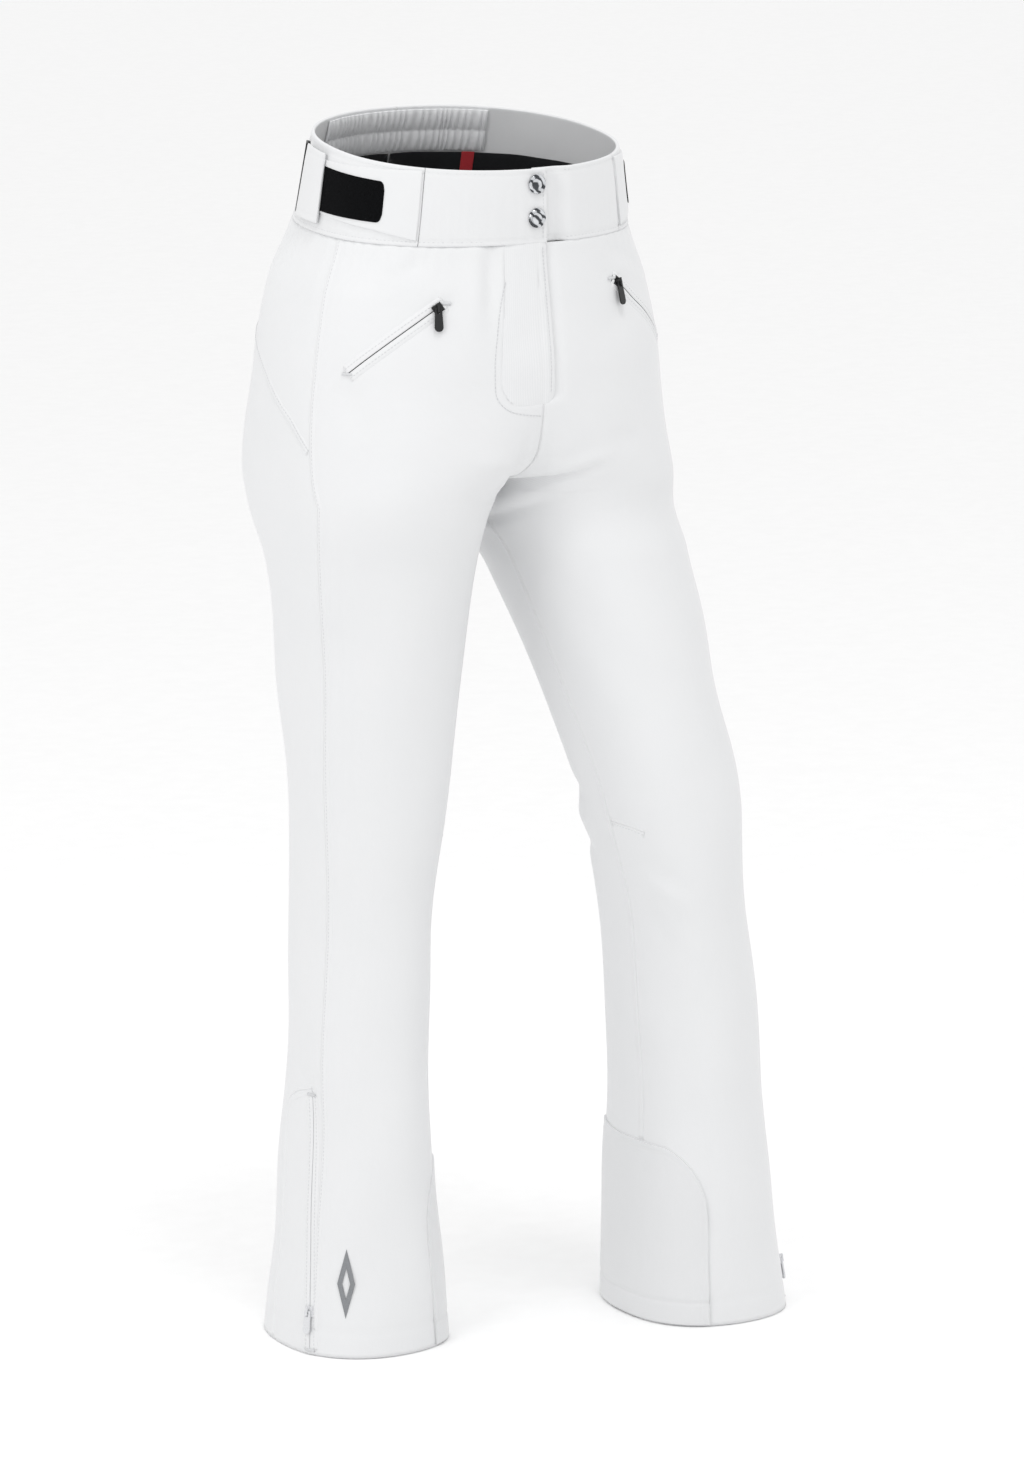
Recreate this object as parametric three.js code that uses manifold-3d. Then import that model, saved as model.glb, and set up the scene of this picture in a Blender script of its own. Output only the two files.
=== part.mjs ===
// Insulated ski pants: two posed legs under a shaped waistband, with a snapped fly, zips, side adjusters and hem gear.
// Millimetres, +Z up, front towards -Y, the wearer's right towards -X, origin at the waist opening's centre.
// A level is a drop below the waist seam. A depth is measured inwards from the outer form; a negative one stands proud.
import * as THREE from 'three';
import { mergeVertices } from 'three/addons/utils/BufferGeometryUtils.js';
import Module from 'manifold-3d';

// ---- Overall sizes ----
const BAND_HEIGHT = 73;
const CROTCH_DROP = 228;
const KNEE_DROP = 530;
const HEM_DROP = 990;
const KNEE_SECTION = 160;
const HEM_SPARE = 3;

// ---- Cloth thicknesses and clearances ----
const GAP = 0.3;
const PANEL = 2.4;
const DOUBLED = 1.0;
const LINING = 0.8;
const GUARD = 1.2;

// ---- Girths: half widths out and in from the centre line, and depths forward and back, down the leg ----
const between = (from, to, share) => from + (to - from) * share;
const onTorso = (share) => between(0, CROTCH_DROP, share);
const onThigh = (share) => between(CROTCH_DROP, KNEE_DROP, share);
const onShin = (share) => between(KNEE_DROP, HEM_DROP, share);
const STATIONS = [
  { level: -BAND_HEIGHT, outer: 136, inner: -136, front: 108, back: 116 },
  { level: 0, outer: 147, inner: -147, front: 108, back: 148 },
  { level: onTorso(0.22), outer: 166, inner: -166, front: 114, back: 172 },
  { level: onTorso(0.53), outer: 178, inner: -160, front: 122, back: 188 },
  { level: onTorso(0.79), outer: 184, inner: -84, front: 120, back: 180 },
  { level: CROTCH_DROP, outer: 186, inner: 0, front: 112, back: 150 },
  { level: onThigh(0.21), outer: 179, inner: 14, front: 98, back: 112 },
  { level: onThigh(0.54), outer: 168, inner: 24, front: 84, back: 98 },
  { level: onThigh(0.93), outer: 157, inner: 34, front: 72, back: 88 },
  { level: onShin(0.22), outer: 150, inner: 42, front: 64, back: 86 },
  { level: onShin(0.52), outer: 150, inner: 38, front: 62, back: 94 },
  { level: onShin(0.78), outer: 158, inner: 28, front: 66, back: 102 },
  { level: HEM_DROP, outer: 168, inner: 19, front: 72, back: 106 },
];

// ---- How each leg stands: out from its own side, back (+) or forward (-), and fuller at the back ----
const STANCE_LEVELS = [CROTCH_DROP, onThigh(0.54), onShin(0), onShin(0.48), HEM_DROP];
const STANCE = {
  right: { side: -1, out: [0, -2, -2, 0, 2], along: [0, 8, 16, 26, 26], fuller: [0, 0, 0, 0, 0] },
  left: { side: 1, out: [0, 36, 64, 100, 122], along: [0, -50, -78, -70, -54], fuller: [0, 8, 12, 18, 8] },
};
const LEAN_LEVELS = [-BAND_HEIGHT, 0, onTorso(0.26), onTorso(0.57), CROTCH_DROP];
const LEAN = [0.15, 0.06, 0.03, 0, 0];
const ROUNDNESS = 0.92;

// ---- Seams, as shares of half the girth from the front centre or inseam round to the back ----
const SIDE_SEAM = 0.43;
const SHIN_SEAM = 0.47;
const SHIN_SPARE = 0.1;
const BAND_SEAM = 0.235;

// ---- Fly and waist closure ----
const FLAP = { thick: 2, hingeTop: 22, hingeFoot: 46, edge: 11, drop: 146, corner: 16 };
const FLY_ZIP = { from: 8, to: 118, sink: 3.2, half: 2.5, tape: 14, slot: 5.4 };
const SNAP = { cap: 8.5, socket: 6, stud: 5.5, nub: 2.2, levels: [-58, -24], sink: 5.6, post: 1.6 };

// ---- Zips ----
const ZIP = { coil: 3.1, slot: 3.5, tape: 10, tapeThick: 1 };
const SLIDER = { long: 9, wide: 8, lift: 1.08, top: 2.9 };
const CROWN = { long: 7, high: 3.4, wide: 2, eyeLong: 4.2, eyeHigh: 2.4 };
const PULLER = { long: 20, wide: 7.6, thick: 1.4 };
const POCKET = {
  right: { from: [0.166, 50], to: [0.352, 113] },
  left: { from: [0.162, 40], to: [0.345, 103] },
};
const HEM_ZIP = { from: [0.49, HEM_DROP - 228], to: [0.446, HEM_DROP - 4], rest: HEM_DROP - 38 };

// ---- Waist adjusters: webbing, loop patch, folded tab and ring ----
const ADJUSTER = {
  strapTop: -56, strapFoot: -18, tabTop: -66, tabFoot: -8, thick: 1.2,
  patchFrom: 0.325, tabFrom: 0.5, bar: 0.612, ringWide: 9, ringBar: 2,
};

// ---- Inner gaiter, inner-leg guard and printed mark ----
const GAITER = { top: HEM_DROP - 158, foot: HEM_DROP - 14, thick: 1.4, topDepth: 4.3, footDepth: 24, elastic: 20 };
const GUARDS = { top: HEM_DROP - 164, back: -0.16, front: 0.175, drop: 22 };
const MARK = { from: HEM_DROP - 97, to: HEM_DROP - 35, centre: 0.372, half: 8 };

// ---- Facets of the shared form ----
const CELLS_ROUND = 20;
const LEVEL_STEPS = [
  [-BAND_HEIGHT, 0, 2], [0, CROTCH_DROP, 7], [CROTCH_DROP, KNEE_DROP - KNEE_SECTION / 2, 5],
  [KNEE_DROP - KNEE_SECTION / 2, KNEE_DROP + KNEE_SECTION / 2, 4], [KNEE_DROP + KNEE_SECTION / 2, HEM_DROP, 9],
];

const COLOURS = {
  shell: { color: 0xeef0f2, roughness: 0.85, metalness: 0 },
  lining: { color: 0x1b1c1f, roughness: 0.9, metalness: 0 },
  elastic: { color: 0xe9ebed, roughness: 0.9, metalness: 0 },
  loop: { color: 0x17181a, roughness: 1, metalness: 0 },
  chrome: { color: 0xc9ccd0, roughness: 0.15, metalness: 1 },
  zip: { color: 0x1d1e20, roughness: 0.5, metalness: 0 },
  label: { color: 0xb3262e, roughness: 0.8, metalness: 0 },
  pocket: { color: 0xdfe2e5, roughness: 0.9, metalness: 0 },
  guard: { color: 0xe6e8ea, roughness: 0.8, metalness: 0 },
  print: { color: 0x9a9da2, roughness: 0.5, metalness: 0 },
};

const wasm = await Module();
wasm.setup();

// ---------------------------------------------------------------- The outer form

// A curve through the points that never overshoots them (monotone cubic).
function smoothCurve(xs, ys) {
  const step = xs.slice(1).map((x, i) => x - xs[i]);
  const rise = step.map((h, i) => (ys[i + 1] - ys[i]) / h);
  const slope = xs.map((_, i) => {
    if (i === 0) return rise[0];
    if (i === xs.length - 1) return rise[i - 1];
    if (rise[i - 1] * rise[i] <= 0) return 0;
    const a = 2 * step[i] + step[i - 1];
    const b = step[i] + 2 * step[i - 1];
    return (a + b) / (a / rise[i - 1] + b / rise[i]);
  });
  return (x) => {
    const at = Math.min(Math.max(x, xs[0]), xs[xs.length - 1]);
    let i = 0;
    while (i < xs.length - 2 && at > xs[i + 1]) i += 1;
    const t = (at - xs[i]) / step[i];
    const keep = (1 + 2 * t) * (1 - t) ** 2 * ys[i] + t * t * (3 - 2 * t) * ys[i + 1];
    return keep + step[i] * (t * (1 - t) ** 2 * slope[i] - t * t * (1 - t) * slope[i + 1]);
  };
}

const levels = STATIONS.map((station) => station.level);
const girth = Object.fromEntries(
  ['outer', 'inner', 'front', 'back'].map((key) => [key, smoothCurve(levels, STATIONS.map((s) => s[key]))]),
);
const leanAt = smoothCurve(LEAN_LEVELS, LEAN);
const stance = Object.fromEntries(
  Object.entries(STANCE).map(([name, leg]) => [name, {
    side: leg.side,
    out: smoothCurve(STANCE_LEVELS, leg.out),
    along: smoothCurve(STANCE_LEVELS, leg.along),
    fuller: smoothCurve(STANCE_LEVELS, leg.fuller),
  }]),
);

// A point of the smooth form: share 0 is the front centre or inseam, 0.5 about the side, 1 the back centre or inseam.
function formPoint(name, share, level) {
  const leg = stance[name];
  const outer = girth.outer(level);
  const inner = girth.inner(level);
  const middle = (outer + inner) / 2;
  const reach = (outer - inner) / 2;
  const back = girth.back(level) + leg.fuller(level);
  const trim = Math.acos(Math.min(Math.max(middle / reach, 0), 1) ** (1 / ROUNDNESS));
  const turn = trim + share * 2 * (Math.PI - trim);
  const bend = (v) => Math.sign(v) * Math.abs(v) ** ROUNDNESS;
  const x = middle - reach * bend(Math.cos(turn));
  const sine = bend(Math.sin(turn));
  const y = sine > 0 ? -girth.front(level) * sine : -back * sine;
  return new THREE.Vector3(
    leg.side * (x + leg.out(level)),
    y + leg.along(level),
    -level + leanAt(Math.min(level, CROTCH_DROP)) * y,
  );
}

// The inward normal of the smooth form.
function formInward(name, share, level) {
  const open = level <= CROTCH_DROP;
  const low = open ? Math.max(share - 0.01, 0) : share - 0.01;
  const high = open ? Math.min(share + 0.01, 1) : share + 0.01;
  const round = (s) => (open ? s : (s + 1) % 1);
  const along = formPoint(name, round(high), level).sub(formPoint(name, round(low), level));
  const down = formPoint(name, share, Math.min(level + 2, HEM_DROP));
  down.sub(formPoint(name, share, Math.max(level - 2, -BAND_HEIGHT)));
  const inward = along.cross(down);
  if (open && (share === 0 || share === 1)) inward.x = 0;
  inward.normalize();
  return stance[name].side < 0 ? inward.negate() : inward;
}

const levelStations = LEVEL_STEPS.flatMap(([from, to, count]) =>
  Array.from({ length: count }, (_, i) => between(from, to, i / count)));
levelStations.push(HEM_DROP);
const facets = Object.fromEntries(['right', 'left'].map((name) => [name, levelStations.map((level) =>
  Array.from({ length: CELLS_ROUND + 1 }, (_, k) => ({
    point: formPoint(name, k / CELLS_ROUND, level),
    inward: formInward(name, k / CELLS_ROUND, level),
  })))]));

// A point of the facetted form at a depth. Every cloth layer is cut from the same facets, so that layers never cross.
function onLeg(name, share, level, depth) {
  const round = share < 0 ? share + 1 : share;
  const column = Math.min(Math.floor(round * CELLS_ROUND + 1e-9), CELLS_ROUND - 1);
  let row = 0;
  while (row < levelStations.length - 2 && level > levelStations[row + 1] + 1e-9) row += 1;
  const s = round * CELLS_ROUND - column;
  const t = (level - levelStations[row]) / (levelStations[row + 1] - levelStations[row]);
  const corner = (r, c) => {
    const { point, inward } = facets[name][r][c];
    return point.clone().addScaledVector(inward, depth);
  };
  const upper = corner(row, column).lerp(corner(row, column + 1), s);
  return upper.lerp(corner(row + 1, column).lerp(corner(row + 1, column + 1), s), t);
}

// The same all the way round the torso: -1 to 0 is the left front, 0 to 1 the right half, 1 to 2 the left back.
function onTorsoLoop(way, level, depth) {
  if (way < 0) return onLeg('left', -way, level, depth);
  if (way <= 1) return onLeg('right', way, level, depth);
  return onLeg('left', 2 - way, level, depth);
}

const onRight = (share, level, depth) => onLeg('right', share, level, depth);
const onLeft = (share, level, depth) => onLeg('left', share, level, depth);
const placeOn = { right: onRight, left: onLeft };
const smoothStep = (from, to, x) => {
  const t = Math.min(Math.max((x - from) / (to - from), 0), 1);
  return t * t * (3 - 2 * t);
};

// ---------------------------------------------------------------- Solids

function solidFrom(positions, triangles) {
  const make = (order) => new wasm.Manifold(new wasm.Mesh({
    numProp: 3,
    vertProperties: new Float32Array(positions),
    triVerts: new Uint32Array(order),
  }));
  const solid = make(triangles);
  if (solid.volume() > 0) return solid;
  const turned = [];
  for (let i = 0; i < triangles.length; i += 3) turned.push(triangles[i], triangles[i + 2], triangles[i + 1]);
  return make(turned);
}

function solidOf(geometry) {
  const bare = geometry.clone();
  bare.deleteAttribute('normal');
  bare.deleteAttribute('uv');
  const merged = mergeVertices(bare, 1e-4);
  const order = merged.index ? Array.from(merged.index.array) : [...Array(merged.attributes.position.count).keys()];
  return solidFrom(Array.from(merged.attributes.position.array), order);
}

function geometryOf(solid) {
  const { vertProperties, triVerts } = solid.getMesh();
  const geometry = new THREE.BufferGeometry();
  geometry.setAttribute('position', new THREE.BufferAttribute(vertProperties, 3));
  geometry.setIndex(new THREE.BufferAttribute(triVerts, 1));
  geometry.computeVertexNormals();
  return geometry;
}

// Stations of a cloth piece: its two edges and every facet line between them.
function stationsBetween(from, to, lines) {
  const inside = lines.filter((line) => line > from + 1e-6 && line < to - 1e-6);
  return [from, ...inside, to];
}

const asFunction = (value) => (typeof value === 'function' ? value : () => value);

// A piece of cloth cut from the form: a thick grid between two depths, over a range of shares and levels.
function cloth(place, { way, level, outer, inner, closed = false, extraWay = [], extraLevel = [] }) {
  const lines = Array.from({ length: 3 * CELLS_ROUND + 1 }, (_, k) => k / CELLS_ROUND - 1);
  const sorted = (list) => [...list].sort((a, b) => a - b);
  const ways = stationsBetween(way[0], way[1], sorted([...lines, ...extraWay]));
  const rows = stationsBetween(level[0], level[1], sorted([...levelStations, ...extraLevel]));
  if (closed) ways.pop();
  const depthOf = [asFunction(outer), asFunction(inner)];
  const positions = [];
  const index = (skin, r, c) => (skin * rows.length + r) * ways.length + (c % ways.length);
  for (const depth of depthOf) {
    for (const row of rows) {
      for (const column of ways) positions.push(...place(column, row, depth(column, row)).toArray());
    }
  }
  const triangles = [];
  const quad = (a, b, c, d) => triangles.push(a, b, c, a, c, d);
  const across = closed ? ways.length : ways.length - 1;
  for (let r = 0; r < rows.length - 1; r += 1) {
    for (let c = 0; c < across; c += 1) {
      quad(index(0, r, c), index(0, r + 1, c), index(0, r + 1, c + 1), index(0, r, c + 1));
      quad(index(1, r, c), index(1, r, c + 1), index(1, r + 1, c + 1), index(1, r + 1, c));
    }
  }
  for (let c = 0; c < across; c += 1) {
    quad(index(0, 0, c), index(0, 0, c + 1), index(1, 0, c + 1), index(1, 0, c));
    const last = rows.length - 1;
    quad(index(0, last, c), index(1, last, c), index(1, last, c + 1), index(0, last, c + 1));
  }
  for (let r = 0; r < rows.length - 1 && !closed; r += 1) {
    const end = ways.length - 1;
    quad(index(0, r, 0), index(1, r, 0), index(1, r + 1, 0), index(0, r + 1, 0));
    quad(index(0, r, end), index(0, r + 1, end), index(1, r + 1, end), index(1, r, end));
  }
  return solidFrom(positions, triangles);
}

// Half a seam gap, as a share of half the girth there.
function seamShare(place, share, level, gap = GAP / 2) {
  const step = share > 0.5 ? -0.01 : 0.01;
  return (gap * 0.01) / place(share + step, level, 0).distanceTo(place(share, level, 0));
}

// A frame on the form: outward normal, level sideways direction and the downward direction along the cloth.
function frameOn(place, share, level, depth = 0) {
  const origin = place(share, level, depth);
  const out = place(share, level, -10).sub(place(share, level, 0)).normalize();
  const down = new THREE.Vector3(0, 0, -1);
  down.addScaledVector(out, -down.dot(out)).normalize();
  const sideways = new THREE.Vector3().crossVectors(out, down).normalize();
  return { origin, out, down, sideways };
}

const matrixOf = (xAxis, yAxis, zAxis, origin) =>
  new THREE.Matrix4().makeBasis(xAxis, yAxis, zAxis).setPosition(origin);

// A box set in a frame: sizes and centre along sideways, down and out.
function boxIn(frame, size, centre = [0, 0, 0]) {
  const geometry = new THREE.BoxGeometry(...size).translate(...centre);
  return solidOf(geometry.applyMatrix4(matrixOf(frame.sideways, frame.down, frame.out, frame.origin)));
}

// A straight cutter that runs from one place of the form to another, wide across and deep through.
function slotBox(from, to, out, half, spare, depth = 60) {
  const run = to.clone().sub(from);
  const length = run.length();
  run.normalize();
  const across = new THREE.Vector3().crossVectors(out, run).normalize();
  const through = new THREE.Vector3().crossVectors(run, across).normalize();
  const middle = from.clone().add(to).multiplyScalar(0.5);
  const geometry = new THREE.BoxGeometry(length + 2 * spare, 2 * half, depth);
  return solidOf(geometry.applyMatrix4(matrixOf(run, across, through, middle)));
}

// ---------------------------------------------------------------- Fly flap outline, seen from the front

function flapPrism(grow) {
  const shape = new THREE.Shape();
  const top = BAND_HEIGHT + 60;
  const slope = (FLAP.hingeFoot - FLAP.hingeTop) / (FLAP.drop + BAND_HEIGHT);
  const hingeX = (z) => -(FLAP.hingeTop + slope * (BAND_HEIGHT - z)) - grow;
  const foot = -FLAP.drop - grow;
  const cornerZ = foot + FLAP.corner;
  shape.moveTo(hingeX(top), top);
  shape.lineTo(hingeX(cornerZ), cornerZ);
  shape.quadraticCurveTo(hingeX(foot), foot, hingeX(foot) + FLAP.corner * 1.6, foot);
  shape.lineTo(grow - 2, foot);
  shape.quadraticCurveTo(FLAP.edge * 0.75 + grow, -FLAP.drop * 0.66, FLAP.edge + grow, -FLAP.drop * 0.3);
  shape.lineTo(FLAP.edge + grow, top);
  const deep = 130;
  const geometry = new THREE.ExtrudeGeometry(shape, { depth: deep, bevelEnabled: false, curveSegments: 5 });
  return solidOf(geometry.rotateX(Math.PI / 2).translate(0, -60, 0));
}

const flapSpan = { way: [-0.09, 0.13] };
const flapCutter = flapPrism(GAP);
const flapShape = flapPrism(0);

function flyFlap() {
  const layer = cloth(onTorsoLoop, {
    ...flapSpan, level: [GAP / 2, FLAP.drop + 8], outer: 0, inner: FLAP.thick,
  });
  return layer.intersect(flapShape);
}

function waistTab() {
  const layer = cloth(onTorsoLoop, {
    ...flapSpan, level: [-BAND_HEIGHT, -GAP / 2], outer: -DOUBLED, inner: FLAP.thick,
  });
  let tab = layer.intersect(flapShape);
  for (const level of SNAP.levels) tab = tab.subtract(disc(snapFrame(level), SNAP.post + GAP, -20, 20));
  return tab;
}

// ---------------------------------------------------------------- Snap fasteners

const snapFrame = (level) => frameOn(onTorsoLoop, 0, level);

// A solid of revolution about a frame's outward axis; the profile gives radius and height out.
function turned(frame, profile, segments = 20) {
  const points = profile.map(([radius, out]) => new THREE.Vector2(radius, out));
  const geometry = new THREE.LatheGeometry(points, segments);
  return solidOf(geometry.applyMatrix4(matrixOf(frame.sideways, frame.out, frame.down, frame.origin)));
}

const disc = (frame, radius, low, high, segments = 16) =>
  turned(frame, [[0, low], [radius, low], [radius, high], [0, high]], segments);

function snapCap(level) {
  const seat = DOUBLED + 1.5 * GAP;
  const foot = -FLAP.thick - GAP - 0.4;
  const r = SNAP.cap;
  const profile = [
    [0, foot], [SNAP.post, foot], [SNAP.post, seat], [r - 0.8, seat], [r, seat + 0.7], [r - 0.5, seat + 1.4],
    [r - 2, seat + 1.5], [r - 2.6, seat + 1.1], [r - 5, seat + 1.5], [0, seat + 1.7],
  ];
  return turned(snapFrame(level), profile, 24);
}

function snapSocket(level) {
  const high = -FLAP.thick - GAP;
  const frame = snapFrame(level);
  const ring = disc(frame, SNAP.socket, high - 1.6, high);
  const hole = disc(frame, SNAP.nub + 0.9, high - 3, high - 0.6);
  return ring.subtract(hole).subtract(disc(frame, SNAP.post + GAP, high - 3, high + 3));
}

function snapStud(level) {
  const seat = -SNAP.sink + GAP;
  const nubTop = -FLAP.thick - GAP - 0.8;
  const profile = [
    [0, seat], [SNAP.stud, seat], [SNAP.stud, seat + 0.7], [SNAP.nub + 0.4, seat + 1],
    [SNAP.nub, nubTop - 0.3], [SNAP.nub - 0.4, nubTop], [0, nubTop],
  ];
  return turned(snapFrame(level), profile);
}

// ---------------------------------------------------------------- Waistband

function bandFrontRight() {
  const edge = BAND_SEAM - seamShare(onRight, BAND_SEAM, 0);
  const layer = cloth(onTorsoLoop, {
    way: [0.02, edge], level: [-BAND_HEIGHT, -GAP / 2], outer: -DOUBLED, inner: PANEL,
  });
  return layer.subtract(flapCutter);
}

// The left band dips behind the overlap, where it carries the snap studs.
function bandFrontLeft() {
  const dip = (way) => SNAP.sink * (1 - smoothStep(0.07, 0.15, -way));
  return cloth(onTorsoLoop, {
    way: [-BAND_SEAM + seamShare(onLeft, BAND_SEAM, 0), 0.03],
    level: [-BAND_HEIGHT, -GAP / 2],
    outer: dip,
    inner: (way) => dip(way) + PANEL,
    extraWay: [-0.075, -0.125],
  });
}

function bandBack(name) {
  const place = placeOn[name];
  return cloth(place, {
    way: [BAND_SEAM + seamShare(place, BAND_SEAM, 0), 1 - seamShare(place, 1, 0)],
    level: [-BAND_HEIGHT, -GAP / 2],
    outer: 0,
    inner: PANEL,
  });
}

const ELASTIC = { from: 0.8, to: 1.2, foot: -37, thick: 3.4 };

function backElastic() {
  return cloth(onTorsoLoop, {
    way: [ELASTIC.from, ELASTIC.to],
    level: [-BAND_HEIGHT + 1, ELASTIC.foot - GAP],
    outer: PANEL + GAP,
    inner: PANEL + GAP + ELASTIC.thick,
  });
}

const POCKET_BAG = { top: 60, foot: onTorso(6 / 7), from: 0.18, to: 0.4, thick: 3.4 };
const LINING_DEPTH = PANEL + 3 * GAP + ZIP.tapeThick + POCKET_BAG.thick + 0.6;
const LINING_FRONT = 0.145;

// The lining starts under the elastic and hangs inside the pocket bags.
function halfSpace(name) {
  const reach = 600;
  const centre = stance[name].side * (reach / 2 + GAP / 2);
  return solidOf(new THREE.BoxGeometry(reach, 900, 2400).translate(centre, 0, -HEM_DROP / 2));
}

function torsoLining(name) {
  const place = placeOn[name];
  const depth = (share, level) => between(PANEL + GAP, LINING_DEPTH, smoothStep(2, 34, level));
  return cloth(place, {
    way: [LINING_FRONT, 1 - seamShare(place, 1, 0)],
    level: [ELASTIC.foot + GAP, CROTCH_DROP - 26],
    outer: depth,
    inner: (share, level) => depth(share, level) + LINING,
    extraLevel: [2, 10, 18, 26, 34],
  }).intersect(halfSpace(name));
}

function sizeLabel() {
  const outer = PANEL + 2 * GAP + LINING;
  return cloth(onTorsoLoop, { way: [1.15, 1.19], level: [-33, -14], outer, inner: outer + 0.6 });
}

// ---------------------------------------------------------------- Fly zip, under the flap

const flyTop = onTorsoLoop(0, FLY_ZIP.from, 0);
const flyFoot = onTorsoLoop(0, FLY_ZIP.to, 0);
const flyRun = flyFoot.clone().sub(flyTop);
const flyLength = flyRun.length();
flyRun.normalize();

// A frame on the straight line of the fly zip, some way down it.
function flyFrame(way) {
  const sideways = new THREE.Vector3(1, 0, 0);
  const out = new THREE.Vector3().crossVectors(flyRun, sideways).normalize();
  if (out.y > 0) out.negate();
  return { origin: flyTop.clone().addScaledVector(flyRun, way), out, down: flyRun, sideways };
}

const COIL_TOP = FLY_ZIP.sink + 2.2;
const TAPE_TOP = FLY_ZIP.sink + PANEL + GAP + 0.6;

function flyZip() {
  const frame = flyFrame(flyLength / 2);
  const tapeThick = 0.9;
  const tape = boxIn(frame, [2 * FLY_ZIP.tape, flyLength + 8, tapeThick], [0, 0, -TAPE_TOP - tapeThick / 2]);
  const coilHigh = TAPE_TOP - COIL_TOP + 0.2;
  return tape.add(boxIn(frame, [2 * FLY_ZIP.half, flyLength, coilHigh], [0, 0, -COIL_TOP - coilHigh / 2]));
}

const FLY_SLIDER = { long: 10, wide: 8, thick: 1.9, gap: 0.35 };

function flySlider() {
  const centre = -COIL_TOP + FLY_SLIDER.gap + FLY_SLIDER.thick / 2;
  return boxIn(flyFrame(FLY_SLIDER.long / 2 + 1), [FLY_SLIDER.wide, FLY_SLIDER.long, FLY_SLIDER.thick], [0, 0, centre]);
}

function flyPuller() {
  const frame = flyFrame(FLY_SLIDER.long + 1 + GAP);
  const shape = teardrop(5.6, 22, 0);
  const geometry = new THREE.ExtrudeGeometry(shape, { depth: 1.2, bevelEnabled: false, curveSegments: 6 });
  geometry.translate(0, 0, -COIL_TOP + FLY_SLIDER.gap);
  return solidOf(geometry.applyMatrix4(matrixOf(frame.sideways, frame.down, frame.out, frame.origin)));
}

function flyFacing() {
  const outer = TAPE_TOP + 0.9 + 1.6;
  return cloth(onTorsoLoop, { way: [-0.11, 0.135], level: [3, FLAP.drop + 6], outer, inner: outer + LINING });
}

// ---------------------------------------------------------------- Body, knee and shin panels

const KNEE_TOP = KNEE_DROP - KNEE_SECTION / 2;
const KNEE_FOOT = KNEE_DROP + KNEE_SECTION / 2;

function bodyFront(name) {
  const place = placeOn[name];
  const dips = name === 'left';
  const dip = (share, level) =>
    (dips ? FLY_ZIP.sink * (1 - smoothStep(0.05, 0.12, share)) * (1 - smoothStep(FLAP.drop, 200, level)) : 0);
  let panel = cloth(place, {
    way: [seamShare(place, 0, 60), SIDE_SEAM - seamShare(place, SIDE_SEAM, 300)],
    level: [GAP / 2, KNEE_TOP - GAP / 2],
    outer: dip,
    inner: (share, level) => dip(share, level) + PANEL,
    extraWay: dips ? [0.075, 0.12] : [],
  });
  panel = panel.subtract(pocketSlot(name, ZIP.slot, 2)).intersect(halfSpace(name));
  if (!dips) return panel.subtract(flapCutter);
  const opening = new THREE.BoxGeometry(2 * FLY_ZIP.slot, 160, FLY_ZIP.to + 40).translate(0, -100, -FLY_ZIP.to / 2 + 12);
  return panel.subtract(solidOf(opening));
}

function bodyBack(name) {
  const place = placeOn[name];
  return cloth(place, {
    way: [SIDE_SEAM + seamShare(place, SIDE_SEAM, 300), 1 - seamShare(place, 1, 60)],
    level: [GAP / 2, KNEE_TOP - GAP / 2],
    outer: 0,
    inner: PANEL,
  }).intersect(halfSpace(name));
}

function kneeSection(name) {
  return cloth(placeOn[name], {
    way: [0, 1], level: [KNEE_TOP + GAP / 2, KNEE_FOOT - GAP / 2], outer: 0, inner: PANEL, closed: true,
  });
}

function shinPanel(name, isFront) {
  const place = placeOn[name];
  const inseam = seamShare(place, 0, GUARDS.top);
  const way = isFront ? [inseam, SHIN_SEAM + SHIN_SPARE] : [SHIN_SEAM - SHIN_SPARE, 1 - inseam];
  const long = cloth(place, { way, level: [KNEE_FOOT + GAP / 2, HEM_DROP + HEM_SPARE], outer: 0, inner: PANEL });
  const layer = long.trimByPlane([0, 0, 1], -HEM_DROP);
  const seam = hemSlot(name, GAP / 2, HEM_ZIP.from[1] - KNEE_FOOT + 20, 12);
  return largest(layer.subtract(hemSlot(name, ZIP.slot, 2, 12)).subtract(seam));
}

function largest(solid) {
  return solid.decompose().reduce((best, piece) => (piece.volume() > best.volume() ? piece : best));
}

// ---------------------------------------------------------------- Pocket and hem zips

const middleOf = (a, b) => [(a[0] + b[0]) / 2, (a[1] + b[1]) / 2];

function pocketSlot(name, half, spare) {
  const { from, to } = POCKET[name];
  const place = placeOn[name];
  const middle = frameOn(place, ...middleOf(from, to));
  return slotBox(place(...from, 0), place(...to, 0), middle.out, half, spare);
}

function hemSlot(name, half, spareTop, spareFoot) {
  const { from, to } = HEM_ZIP;
  const place = placeOn[name];
  const middle = frameOn(place, ...middleOf(from, to));
  const start = place(...from, 0);
  const end = place(...to, 0);
  const run = end.clone().sub(start).normalize();
  start.addScaledVector(run, -spareTop);
  end.addScaledVector(run, spareFoot);
  return slotBox(start, end, middle.out, half, 0);
}

// A zip's tape lies behind the cloth and its coil fills the slot.
function zipStrip(place, way, level, tapeCut, coilCut) {
  const tapeTop = PANEL + GAP;
  const tape = cloth(place, { way, level, outer: tapeTop, inner: tapeTop + ZIP.tapeThick });
  const coil = cloth(place, { way, level, outer: 0.3, inner: tapeTop + ZIP.tapeThick / 2 });
  return tape.intersect(tapeCut).add(coil.intersect(coilCut));
}

function pocketZip(name) {
  const { from, to } = POCKET[name];
  const way = [from[0] - 0.06, to[0] + 0.06];
  const level = [from[1] - 28, to[1] + 28];
  return zipStrip(placeOn[name], way, level, pocketSlot(name, ZIP.tape, 6), pocketSlot(name, ZIP.coil, 1.4));
}

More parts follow.
